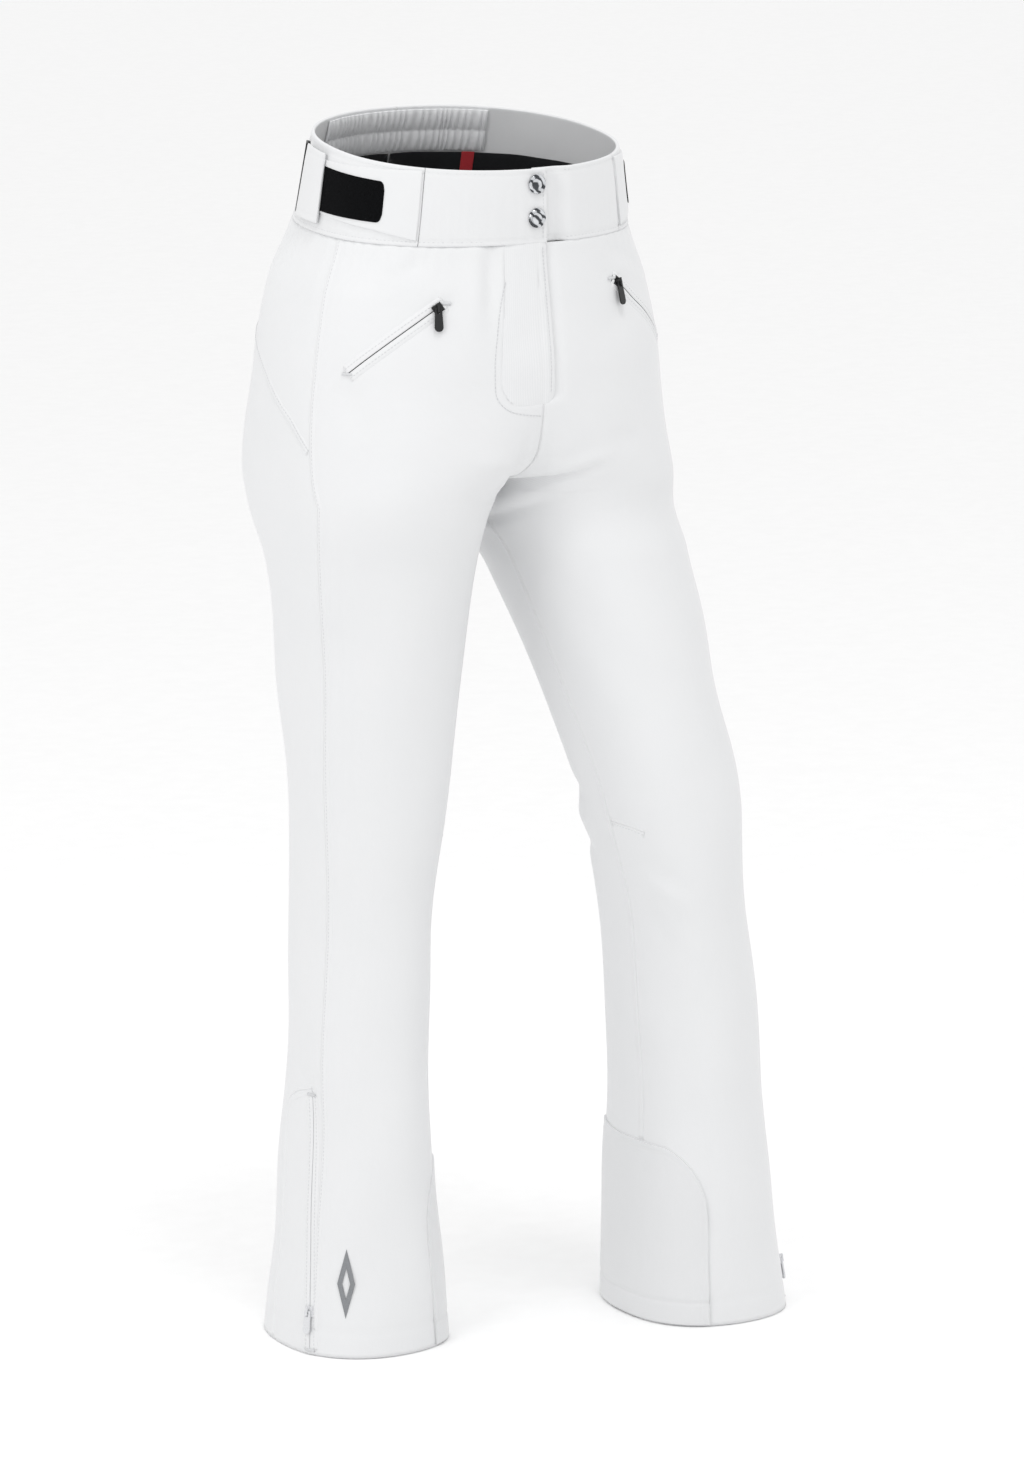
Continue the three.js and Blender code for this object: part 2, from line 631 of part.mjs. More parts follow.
function hemZip(name) {
  const { from, to } = HEM_ZIP;
  const way = [to[0] - 0.05, from[0] + 0.05];
  return zipStrip(placeOn[name], way, [from[1] - 6, to[1]], hemSlot(name, ZIP.tape, 4, 8), hemSlot(name, ZIP.coil, 1.4, 8));
}

// A slider: its body lies along the coil and its crown holds the puller's eye, which hangs down.
function sliderSolid(frame, run) {
  const across = new THREE.Vector3().crossVectors(frame.out, run).normalize();
  const out = new THREE.Vector3().crossVectors(run, across).normalize();
  const body = boxIn({ origin: frame.origin, sideways: across, down: run, out },
    [SLIDER.wide, SLIDER.long, SLIDER.top - SLIDER.lift], [0, 0, (SLIDER.top + SLIDER.lift) / 2]);
  const high = CROWN.high;
  const arch = boxIn(frame, [CROWN.wide, CROWN.long, high + 0.4], [0, 0, SLIDER.top + (high - 0.4) / 2]);
  const eye = boxIn(frame, [CROWN.wide * 3, CROWN.eyeLong, CROWN.eyeHigh], [0, 0, SLIDER.top + CROWN.eyeHigh / 2]);
  return body.add(arch.subtract(eye));
}

// A flat teardrop that starts at a height and swells to its round end.
function teardrop(wide, long, start) {
  const half = wide / 2;
  const shape = new THREE.Shape();
  shape.moveTo(-half * 0.8, start);
  shape.lineTo(half * 0.8, start);
  shape.lineTo(half, long - half);
  shape.absarc(0, long - half, half, 0, Math.PI, false);
  shape.lineTo(-half * 0.8, start);
  return shape;
}

// The puller's axis lies in the crown's eye; a window lets the crown through.
function pullerSolid(frame) {
  const bar = 0.6;
  const shape = teardrop(PULLER.wide, PULLER.long, -bar);
  const window = new THREE.Path();
  const half = CROWN.wide / 2 + 0.5;
  window.moveTo(-half, bar);
  window.lineTo(-half, CROWN.long / 2 + 1);
  window.lineTo(half, CROWN.long / 2 + 1);
  window.lineTo(half, bar);
  window.lineTo(-half, bar);
  shape.holes.push(window);
  const geometry = new THREE.ExtrudeGeometry(shape, { depth: PULLER.thick, bevelEnabled: false, curveSegments: 6 });
  geometry.translate(0, 0, SLIDER.top + CROWN.eyeHigh / 2 - PULLER.thick / 2);
  return solidOf(geometry.applyMatrix4(matrixOf(frame.sideways, frame.down, frame.out, frame.origin)));
}

// The slider's place on its zip, some share of the way along, and the direction of the coil there.
function sliderSeat(name, { from, to }, share) {
  const place = placeOn[name];
  const along = (s) => [between(from[0], to[0], s), between(from[1], to[1], s)];
  const frame = frameOn(place, ...along(share));
  const run = place(...along(share + 0.04), 0).sub(place(...along(share - 0.04), 0)).normalize();
  return { frame, run };
}

const POCKET_REST = 0.07;
const HEM_REST = (HEM_ZIP.rest - HEM_ZIP.from[1]) / (HEM_ZIP.to[1] - HEM_ZIP.from[1]);

function pocketBag(name) {
  const outer = PANEL + 2 * GAP + ZIP.tapeThick;
  return cloth(placeOn[name], {
    way: [POCKET_BAG.from, POCKET_BAG.to],
    level: [POCKET_BAG.top, POCKET_BAG.foot],
    outer,
    inner: outer + POCKET_BAG.thick,
  });
}

// ---------------------------------------------------------------- Waist adjusters

const STRAP_TOP = -GAP - ADJUSTER.thick;
const PATCH_TOP = STRAP_TOP - GAP - 0.8;
const TAB_INNER = PATCH_TOP - GAP;

function adjusterStrap(name) {
  const place = placeOn[name];
  return cloth(place, {
    way: [BAND_SEAM + seamShare(place, BAND_SEAM, 0, 1), ADJUSTER.bar - 0.012],
    level: [ADJUSTER.strapTop, ADJUSTER.strapFoot],
    outer: STRAP_TOP,
    inner: -GAP,
  });
}

function adjusterPatch(name) {
  const place = placeOn[name];
  const { patchFrom, bar, strapTop, strapFoot } = ADJUSTER;
  const layer = cloth(place, {
    way: [patchFrom, bar - 0.02], level: [strapTop + 1, strapFoot - 1], outer: PATCH_TOP, inner: STRAP_TOP - GAP,
  });
  const radius = (strapFoot - strapTop) / 2;
  const middle = (strapTop + strapFoot) / 2;
  const tip = frameOn(place, patchFrom, middle);
  const corner = frameOn(place, patchFrom + seamShare(place, patchFrom, middle, radius), middle);
  const round = disc(corner, radius, -20, 20, 28);
  const toBack = tip.sideways.clone().multiplyScalar(Math.sign(corner.origin.clone().sub(tip.origin).dot(tip.sideways)));
  const behind = { ...corner, sideways: toBack, down: new THREE.Vector3().crossVectors(corner.out, toBack) };
  const rest = boxIn(behind, [200, 2 * radius + 4, 200], [100, 0, 0]);
  return layer.intersect(round.add(rest));
}

function adjusterTab(name) {
  const place = placeOn[name];
  const { tabFrom, bar, tabTop, tabFoot, thick } = ADJUSTER;
  return cloth(place, {
    way: [tabFrom, bar - 0.006], level: [tabTop, tabFoot], outer: TAB_INNER - thick, inner: TAB_INNER,
  });
}

function adjusterRing(name) {
  const place = placeOn[name];
  const { bar, tabTop, tabFoot, ringWide, ringBar } = ADJUSTER;
  const frame = frameOn(place, bar + 0.012, (tabTop + tabFoot) / 2);
  const long = tabFoot - tabTop + 2 * ringBar;
  const lift = 2.6;
  const ring = boxIn(frame, [ringWide, long, ringBar], [0, 0, lift]);
  return ring.subtract(boxIn(frame, [ringWide - 2 * ringBar, long - 2 * ringBar, 3 * ringBar], [0, 0, lift]));
}

// ---------------------------------------------------------------- Hem gear

function gaiterDepth(level) {
  return between(GAITER.topDepth, GAITER.footDepth, smoothStep(GAITER.top + 6, GAITER.foot, level));
}

function gaiter(name) {
  return cloth(placeOn[name], {
    way: [0, 1],
    level: [GAITER.top, GAITER.foot],
    outer: (share, level) => gaiterDepth(level),
    inner: (share, level) => gaiterDepth(level) + GAITER.thick,
    closed: true,
  });
}

function gaiterElastic(name) {
  const skin = (level) => gaiterDepth(level) + GAITER.thick + GAP;
  return cloth(placeOn[name], {
    way: [0, 1],
    level: [GAITER.foot - GAITER.elastic, GAITER.foot],
    outer: (share, level) => skin(level),
    inner: (share, level) => skin(level) + 1.6,
    closed: true,
  });
}

// The inner-leg guard wraps the inseam; its front top corner is cut off.
function scuffGuard(name) {
  const place = placeOn[name];
  const { top, back, front, drop } = GUARDS;
  const layer = cloth(place, { way: [back, front], level: [top, HEM_DROP - 1.5], outer: -GAP - GUARD, inner: -GAP });
  const corner = frameOn(place, front, top);
  const turn = new THREE.Matrix4().makeRotationZ(Math.PI / 4);
  const geometry = new THREE.BoxGeometry(drop * 2, drop * 2, 60).applyMatrix4(turn);
  geometry.applyMatrix4(matrixOf(corner.sideways, corner.down, corner.out, corner.origin));
  return layer.subtract(solidOf(geometry));
}

// A plain lozenge with a slot, bonded to the right hem.
function hemMark() {
  const frame = frameOn(onRight, MARK.centre, (MARK.from + MARK.to) / 2);
  const long = (MARK.to - MARK.from) / 2;
  const lozenge = (scale) => {
    const shape = new THREE.Shape();
    shape.moveTo(0, -long * scale);
    shape.lineTo(MARK.half * scale, 0);
    shape.lineTo(0, long * scale);
    shape.lineTo(-MARK.half * scale, 0);
    const geometry = new THREE.ExtrudeGeometry(shape, { depth: 60, bevelEnabled: false });
    geometry.translate(0, 0, -30);
    return solidOf(geometry.applyMatrix4(matrixOf(frame.sideways, frame.down, frame.out, frame.origin)));
  };
  const layer = cloth(onRight, {
    way: [MARK.centre - 0.06, MARK.centre + 0.06], level: [MARK.from - 4, MARK.to + 4], outer: -GAP - 0.5, inner: -GAP,
  });
  return layer.intersect(lozenge(1).subtract(lozenge(0.45)));
}

// ---------------------------------------------------------------- Assembly

const pants = new THREE.Group();
pants.name = 'ski_pants';

function add(name, colour, solid, parent = pants) {
  const mesh = new THREE.Mesh(geometryOf(solid), new THREE.MeshStandardMaterial(COLOURS[colour]));
  mesh.name = name;
  parent.add(mesh);
}

add('waistband_front_right', 'shell', bandFrontRight());
add('waistband_front_left', 'shell', bandFrontLeft());
add('waistband_back_right', 'shell', bandBack('right'));
add('waistband_back_left', 'shell', bandBack('left'));
add('waistband_elastic', 'elastic', backElastic());
add('waist_tab', 'shell', waistTab());
add('size_label', 'label', sizeLabel());
add('fly_flap', 'shell', flyFlap());
add('fly_facing', 'lining', flyFacing());
add('fly_zip', 'zip', flyZip());
add('fly_slider', 'zip', flySlider());
add('fly_puller', 'zip', flyPuller());
SNAP.levels.forEach((level, i) => {
  const name = ['upper', 'lower'][i];
  add(`snap_cap_${name}`, 'chrome', snapCap(level));
  add(`snap_socket_${name}`, 'chrome', snapSocket(level));
  add(`snap_stud_${name}`, 'chrome', snapStud(level));
});

for (const name of ['right', 'left']) {
  const leg = new THREE.Group();
  pants.add(leg);
  add(`lining_${name}`, 'lining', torsoLining(name), leg);
  add(`body_front_${name}`, 'shell', bodyFront(name), leg);
  add(`body_back_${name}`, 'shell', bodyBack(name), leg);
  add(`knee_section_${name}`, 'shell', kneeSection(name), leg);
  add(`shin_front_${name}`, 'shell', shinPanel(name, true), leg);
  add(`shin_back_${name}`, 'shell', shinPanel(name, false), leg);
  add(`pocket_bag_${name}`, 'pocket', pocketBag(name), leg);
  add(`pocket_zip_${name}`, 'zip', pocketZip(name), leg);
  const pocket = sliderSeat(name, POCKET[name], POCKET_REST);
  add(`pocket_slider_${name}`, 'zip', sliderSolid(pocket.frame, pocket.run), leg);
  add(`pocket_puller_${name}`, 'zip', pullerSolid(pocket.frame), leg);
  add(`adjuster_strap_${name}`, 'shell', adjusterStrap(name), leg);
  add(`adjuster_patch_${name}`, 'loop', adjusterPatch(name), leg);
  add(`adjuster_tab_${name}`, 'shell', adjusterTab(name), leg);
  add(`adjuster_ring_${name}`, 'zip', adjusterRing(name), leg);
  add(`hem_zip_${name}`, 'zip', hemZip(name), leg);
  const hem = sliderSeat(name, HEM_ZIP, HEM_REST);
  add(`hem_slider_${name}`, 'zip', sliderSolid(hem.frame, hem.run), leg);
  add(`hem_puller_${name}`, 'zip', pullerSolid(hem.frame), leg);
  add(`scuff_guard_${name}`, 'guard', scuffGuard(name), leg);
  add(`gaiter_${name}`, 'elastic', gaiter(name), leg);
  add(`gaiter_elastic_${name}`, 'lining', gaiterElastic(name), leg);
}
add('hem_mark', 'print', hemMark());

export default pants;
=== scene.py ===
"""Insulated ski pants: the cloth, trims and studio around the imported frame.

Shapes are worked out in millimetres on one tailored form and put into meshes in metres. A level is a drop below
the waist seam, a share runs round half the girth from the front (or the inseam) to the back, and a depth is measured
inwards from the form's face.
"""

import logging
import math
from dataclasses import dataclass, field
from enum import Enum
from functools import partial
from typing import Callable, Optional, Sequence

import bmesh
import bpy
import numpy as np
from mathutils import Matrix, Vector


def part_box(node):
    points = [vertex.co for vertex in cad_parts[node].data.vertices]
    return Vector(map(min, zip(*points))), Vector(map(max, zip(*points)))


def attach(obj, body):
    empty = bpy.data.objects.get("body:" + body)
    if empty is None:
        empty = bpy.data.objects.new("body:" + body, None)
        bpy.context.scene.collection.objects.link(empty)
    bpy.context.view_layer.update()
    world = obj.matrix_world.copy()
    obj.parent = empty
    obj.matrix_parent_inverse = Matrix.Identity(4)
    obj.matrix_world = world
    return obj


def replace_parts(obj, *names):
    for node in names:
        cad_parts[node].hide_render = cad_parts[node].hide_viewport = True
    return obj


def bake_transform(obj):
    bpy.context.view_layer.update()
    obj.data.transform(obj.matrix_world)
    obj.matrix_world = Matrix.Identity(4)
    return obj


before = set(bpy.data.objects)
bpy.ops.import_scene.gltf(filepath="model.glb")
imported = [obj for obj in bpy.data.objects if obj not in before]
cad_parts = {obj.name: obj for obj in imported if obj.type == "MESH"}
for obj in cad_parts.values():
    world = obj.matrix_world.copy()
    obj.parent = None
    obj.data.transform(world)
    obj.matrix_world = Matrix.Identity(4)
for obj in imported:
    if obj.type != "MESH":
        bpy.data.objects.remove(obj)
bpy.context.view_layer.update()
LOG = logging.getLogger("ski_pants")

MM = 0.001
BAND_HEIGHT = 73.0
CROTCH_DROP = 228.0
KNEE_DROP = 530.0
HEM_DROP = 990.0
SHELL_THICK = 2.2
ROUNDNESS = 0.92
SEED = 11
SHARE_STEP = 0.008
LEVEL_STEP = 2.0
CLOTH_GIRTH = 560.0
EDGE_WIDTH = 0.18
EDGE_ANGLE = 40.0

Array = np.ndarray
Place = Callable[[Array, Array, Array], Array]


class Side(Enum):
    """The wearer's right half and left half."""

    RIGHT = -1
    LEFT = 1

    @property
    def word(self) -> str:
        """The side's name as the frame spells it."""
        return self.name.lower()


# ---------------------------------------------------------------- arithmetic


def smooth_step(start: float, end: float, value: Array) -> Array:
    """A ramp from 0 to 1 between start and end, level at both: t * t * (3 - 2t)."""
    t = np.clip((np.asarray(value, float) - start) / (end - start), 0.0, 1.0)
    return t * t * (3.0 - 2.0 * t)


def bell(value: Array, width: float) -> Array:
    """A bump of height 1 at 0: e to the power of minus (value / width) squared."""
    return np.exp(-((np.asarray(value, float) / width) ** 2))


def smooth_curve(xs: Sequence[float], ys: Sequence[float]) -> Callable[[Array], Array]:
    """Makes a curve through points that never overshoots them.

    A monotone cubic: each inner slope is the weighted harmonic mean of the chords on its two sides, and 0 at a peak.

    Args:
        xs: rising places.
        ys: the value at each.

    Returns:
        A function from an array of places to the values there, held flat beyond both ends.
    """
    x, y = np.asarray(xs, float), np.asarray(ys, float)
    step = np.diff(x)
    rise = np.diff(y) / step
    slope = np.zeros_like(x)
    slope[0], slope[-1] = rise[0], rise[-1]
    a, b = 2 * step[1:] + step[:-1], step[1:] + 2 * step[:-1]
    same = rise[:-1] * rise[1:] > 0
    low, high = np.where(same, rise[:-1], 1.0), np.where(same, rise[1:], 1.0)
    slope[1:-1] = np.where(same, (a + b) / (a / low + b / high), 0.0)

    def value(at: Array) -> Array:
        """The curve's value at each place."""
        p = np.clip(np.asarray(at, float), x[0], x[-1])
        i = np.clip(np.searchsorted(x, p) - 1, 0, len(step) - 1)
        h = step[i]
        t = (p - x[i]) / h
        keep = (1 + 2 * t) * (1 - t) ** 2 * y[i] + t * t * (3 - 2 * t) * y[i + 1]
        return keep + h * (t * (1 - t) ** 2 * slope[i] - t * t * (1 - t) * slope[i + 1])

    return value


def unit(vectors: Array) -> Array:
    """Each vector at length 1."""
    return vectors / np.maximum(np.linalg.norm(vectors, axis=-1, keepdims=True), 1e-12)


# ---------------------------------------------------------------- the tailored form


@dataclass
class Form:
    """The outer form: half widths and depths down the garment, and how each leg stands."""

    levels: tuple = (-73, 0, 50.2, 120.8, 180.1, 228, 291.4, 391.1, 508.9, 631.2, 769.2, 888.8, 990)
    outer: tuple = (136, 147, 166, 178, 184, 186, 179, 168, 157, 150, 150, 158, 168)
    inner: tuple = (-136, -147, -166, -160, -84, 0, 14, 24, 34, 42, 38, 28, 19)
    front: tuple = (108, 108, 114, 122, 120, 112, 98, 84, 72, 64, 62, 66, 72)
    back: tuple = (116, 148, 172, 188, 180, 150, 112, 98, 88, 86, 94, 102, 106)
    stance_levels: tuple = (228, 391.1, 530, 750.8, 990)
    stance: dict = field(default_factory=lambda: {
        Side.RIGHT: ((0, -2, -2, 0, 2), (0, 8, 16, 26, 26), (0, 0, 0, 0, 0)),
        Side.LEFT: ((0, 36, 64, 100, 122), (0, -50, -78, -70, -54), (0, 8, 12, 18, 8)),
    })
    lean_levels: tuple = (-73, 0, 59.3, 130, 228)
    lean: tuple = (0.15, 0.06, 0.03, 0, 0)

    def __post_init__(self) -> None:
        """Fits the curves once."""
        self._girth = [smooth_curve(self.levels, row) for row in (self.outer, self.inner, self.front, self.back)]
        self._stance = {
            side: [smooth_curve(self.stance_levels, row) for row in rows] for side, rows in self.stance.items()
        }
        self._lean = smooth_curve(self.lean_levels, self.lean)

    def point(self, side: Side, share: Array, level: Array) -> Array:
        """A point of the form.

        A section is an oval of different depth before and behind, with its sine and cosine raised to ROUNDNESS, cut
        off at the centre plane above the crotch.

        Args:
            side: right or left half.
            share: 0 at the front centre or inseam, about 0.5 at the side, 1 at the back centre or inseam.
            level: drop below the waist seam.

        Returns:
            Points in millimetres, with a last axis of 3.
        """
        share, level = np.broadcast_arrays(np.asarray(share, float), np.asarray(level, float))
        outer, inner, front, back = (curve(level) for curve in self._girth)
        out, along, fuller = (curve(np.maximum(level, CROTCH_DROP)) for curve in self._stance[side])
        eased = smooth_step(CROTCH_DROP, CROTCH_DROP + 60, level)
        out, along, fuller = out * eased, along * eased, fuller * eased
        middle, reach = (outer + inner) / 2, (outer - inner) / 2
        back = back + fuller
        trim = np.arccos(np.clip(middle / reach, 0, 1) ** (1 / ROUNDNESS))
        turn = trim + (share % 1.0 + (share == 1.0)) * 2 * (np.pi - trim)
        cosine, sine = np.cos(turn), np.sin(turn)
        x = middle - reach * np.sign(cosine) * np.abs(cosine) ** ROUNDNESS
        bend = np.abs(sine) ** ROUNDNESS
        y = np.where(sine > 0, -front * bend, back * bend)
        z = -level + self._lean(np.minimum(level, CROTCH_DROP)) * y
        return np.stack([side.value * (x + out), y + along, z], -1)

    def outward(self, side: Side, share: Array, level: Array) -> Array:
        """The outward normal: the cross product of the form's two directions there."""
        share, level = np.broadcast_arrays(np.asarray(share, float), np.asarray(level, float))
        torso = level <= CROTCH_DROP
        low = np.where(torso, np.maximum(share - SHARE_STEP, 0), share - SHARE_STEP)
        high = np.where(torso, np.minimum(share + SHARE_STEP, 1), share + SHARE_STEP)
        round_ = self.point(side, high, level) - self.point(side, low, level)
        down = self.point(side, share, np.minimum(level + LEVEL_STEP, HEM_DROP))
        down = down - self.point(side, share, np.maximum(level - LEVEL_STEP, -BAND_HEIGHT))
        normal = np.cross(round_, down)
        edge = torso & ((share == 0) | (share == 1))
        normal[..., 0] = np.where(edge, 0.0, normal[..., 0])
        return unit(normal) * -side.value

    def at(self, side: Side, share: Array, level: Array, depth: Array = 0.0) -> Array:
        """A point at a depth inwards from the form."""
        depth = np.asarray(depth, float)[..., None]
        return self.point(side, share, level) - depth * self.outward(side, share, level)

    def round_torso(self, way: Array, level: Array, depth: Array = 0.0) -> Array:
        """A point on the full torso loop: -1 to 0 left front, 0 to 1 right half, 1 to 2 left back."""
        way, level, depth = np.broadcast_arrays(*(np.asarray(v, float) for v in (way, level, depth)))
        right = self.at(Side.RIGHT, np.clip(way, 0, 1), level, depth)
        left = self.at(Side.LEFT, np.clip(np.where(way < 0, -way, 2 - way), 0, 1), level, depth)
        return np.where(((way >= 0) & (way <= 1))[..., None], right, left)

    def share_at_x(self, side: Side, x: Array, level: Array) -> Array:
        """The share on the front whose point has that distance x from the centre, row by row of level."""
        shares = np.linspace(0, 0.35, 141)
        rows = [np.interp(xr, side.value * self.point(side, shares, lr)[:, 0], shares) for xr, lr in zip(x, level)]
        return np.array(rows)


FORM = Form()


# ---------------------------------------------------------------- folds and puckers


@dataclass(frozen=True)
class Fold:
    """A ridge (height above 0) or crease (below 0) along a line on one half, fading at its ends."""

    side: Side
    start: tuple
    end: tuple
    width: float
    height: float
    from_seam: bool = False
    steps: int = 6

    def lift(self, points: Array) -> Array:
        """How far it lifts points: its height times a bell of the distance to its line, faded along the line."""
        t = np.linspace(0, 1, self.steps + 1)
        share = self.start[0] + (self.end[0] - self.start[0]) * t
        level = self.start[1] + (self.end[1] - self.start[1]) * t
        line = FORM.point(self.side, share, level)
        best = np.full(points.shape[:-1], 1e9)
        where = np.zeros(points.shape[:-1])
        for i in range(self.steps):
            a, run = line[i], line[i + 1] - line[i]
            s = np.clip(((points - a) @ run) / (run @ run), 0, 1)
            gap = np.linalg.norm(points - a - s[..., None] * run, axis=-1)
            nearer = gap < best
            best = np.where(nearer, gap, best)
            where = np.where(nearer, (i + s) / self.steps, where)
        where = 0.5 + 0.5 * where if self.from_seam else where
        return self.height * bell(best, self.width) * np.sin(np.pi * np.clip(where, 0.04, 0.96)) ** 0.6


R, L = Side.RIGHT, Side.LEFT
FOLDS = (
    # Round the crotch.
    Fold(L, (0.0, 227), (0.13, 204), 4.6, -8.5, True), Fold(L, (0.01, 214), (0.15, 190), 9, 3.4),
    Fold(L, (0.03, 246), (0.15, 220), 10, 3.2), Fold(L, (0.0, 262), (0.15, 232), 5.0, -3.6, True),
    Fold(L, (0.0, 243), (0.08, 222), 3.6, -3.4, True), Fold(L, (0.05, 204), (0.2, 176), 12, -2.0),
    Fold(R, (0.0, 224), (0.09, 198), 5, -4.0, True), Fold(R, (0.02, 212), (0.13, 186), 10, 2.2),
    Fold(R, (0.03, 244), (0.14, 226), 10, 1.6), Fold(R, (0.02, 160), (0.05, 222), 7, -1.5),
    Fold(L, (0.02, 165), (0.04, 222), 7, -1.2),
    # Beside the fly's hinge, under the band.
    Fold(R, (0.085, -8), (0.082, 70), 7.5, -3.2), Fold(R, (0.115, -4), (0.11, 90), 10, 1.6),
    Fold(R, (0.40, 210), (0.405, 520), 6, -1.1), Fold(R, (0.425, 230), (0.425, 560), 5, 0.8),
    Fold(R, (0.405, 560), (0.40, 760), 7, -1.0),
    # The long soft valleys down the front of the right thigh and shin.
    Fold(R, (0.36, 125), (0.37, 420), 26, -2.2), Fold(R, (0.28, 150), (0.24, 520), 34, 1.6),
    Fold(R, (0.34, 560), (0.30, 900), 22, -1.4), Fold(R, (0.22, 620), (0.28, 880), 24, 1.4),
    Fold(R, (0.12, 700), (0.17, 960), 18, -1.2),
    # The left thigh, bent knee and shin.
    Fold(L, (0.06, 300), (0.22, 430), 22, -1.8), Fold(L, (0.16, 260), (0.30, 440), 30, 1.6),
    Fold(L, (0.04, 590), (0.10, 640), 9, -1.8), Fold(L, (0.05, 556), (0.16, 580), 10, -1.6),
    Fold(L, (0.06, 572), (0.18, 604), 10, 1.6), Fold(L, (0.10, 660), (0.16, 860), 18, -1.4),
    Fold(L, (0.22, 620), (0.24, 940), 26, 1.4), Fold(L, (0.30, 560), (0.34, 820), 24, -1.4),
    # Behind the knees and under the seat.
    Fold(R, (0.72, 505), (0.92, 520), 10, -3.0), Fold(R, (0.70, 530), (0.94, 545), 10, 2.6),
    Fold(R, (0.74, 560), (0.92, 566), 9, -2.4), Fold(L, (0.70, 498), (0.94, 512), 10, -3.4),
    Fold(L, (0.68, 524), (0.95, 540), 10, 3.0), Fold(L, (0.72, 552), (0.94, 566), 9, -3.0),
    Fold(R, (0.62, 236), (0.96, 262), 14, -4.0), Fold(L, (0.62, 240), (0.96, 256), 14, -4.0),
    Fold(R, (0.70, 276), (0.97, 300), 13, 2.4), Fold(L, (0.70, 280), (0.97, 296), 13, 2.4),
    Fold(R, (0.98, 226), (0.86, 196), 10, -3.0), Fold(L, (0.98, 226), (0.86, 200), 10, -3.0),
    # Pulls below the waist and from the pocket ends.
    Fold(R, (0.20, 8), (0.30, 34), 8, -1.4), Fold(R, (0.33, 6), (0.36, 46), 9, -1.3),
    Fold(R, (0.28, 6), (0.27, 40), 8, 1.0), Fold(L, (0.18, 14), (0.32, 40), 8, -1.3),
    Fold(L, (0.10, 60), (0.26, 20), 12, 1.2), Fold(L, (0.10, 90), (0.30, 46), 12, -1.0),
    Fold(R, (0.36, 118), (0.31, 170), 14, -1.6), Fold(R, (0.30, 120), (0.20, 190), 24, 1.3),
)

POCKET_LINE = {Side.RIGHT: ((0.166, 50.0), (0.352, 113.0)), Side.LEFT: ((0.162, 40.0), (0.345, 103.0))}
HEM_ZIP_LINE = ((0.49, 762.0), (0.446, 986.0))
FLAP_HINGE = (22.0, 46.0)
FLAP_EDGE = 11.0
FLAP_DROP = 146.0
FLAP_ROOM = 7.8
HEM_STITCH = 968.0


def flap_hinge_x(level: Array) -> Array:
    """How far to the right the flap's hinge line lies from the centre: a straight, slanting line."""
    slope = (FLAP_HINGE[1] - FLAP_HINGE[0]) / (FLAP_DROP + BAND_HEIGHT)
    return FLAP_HINGE[0] + slope * (BAND_HEIGHT + np.asarray(level, float))


def flap_right_x(level: Array, foot: float = FLAP_DROP) -> Array:
    """How far right the flap reaches: the hinge line, swept in to a quarter round over the last 30 mm."""
    sweep = np.clip((np.asarray(level, float) - (foot - 30)) / 30, 0, 1)
    return flap_hinge_x(level) - 30 * (1 - np.sqrt(np.maximum(1 - sweep ** 2, 0)))


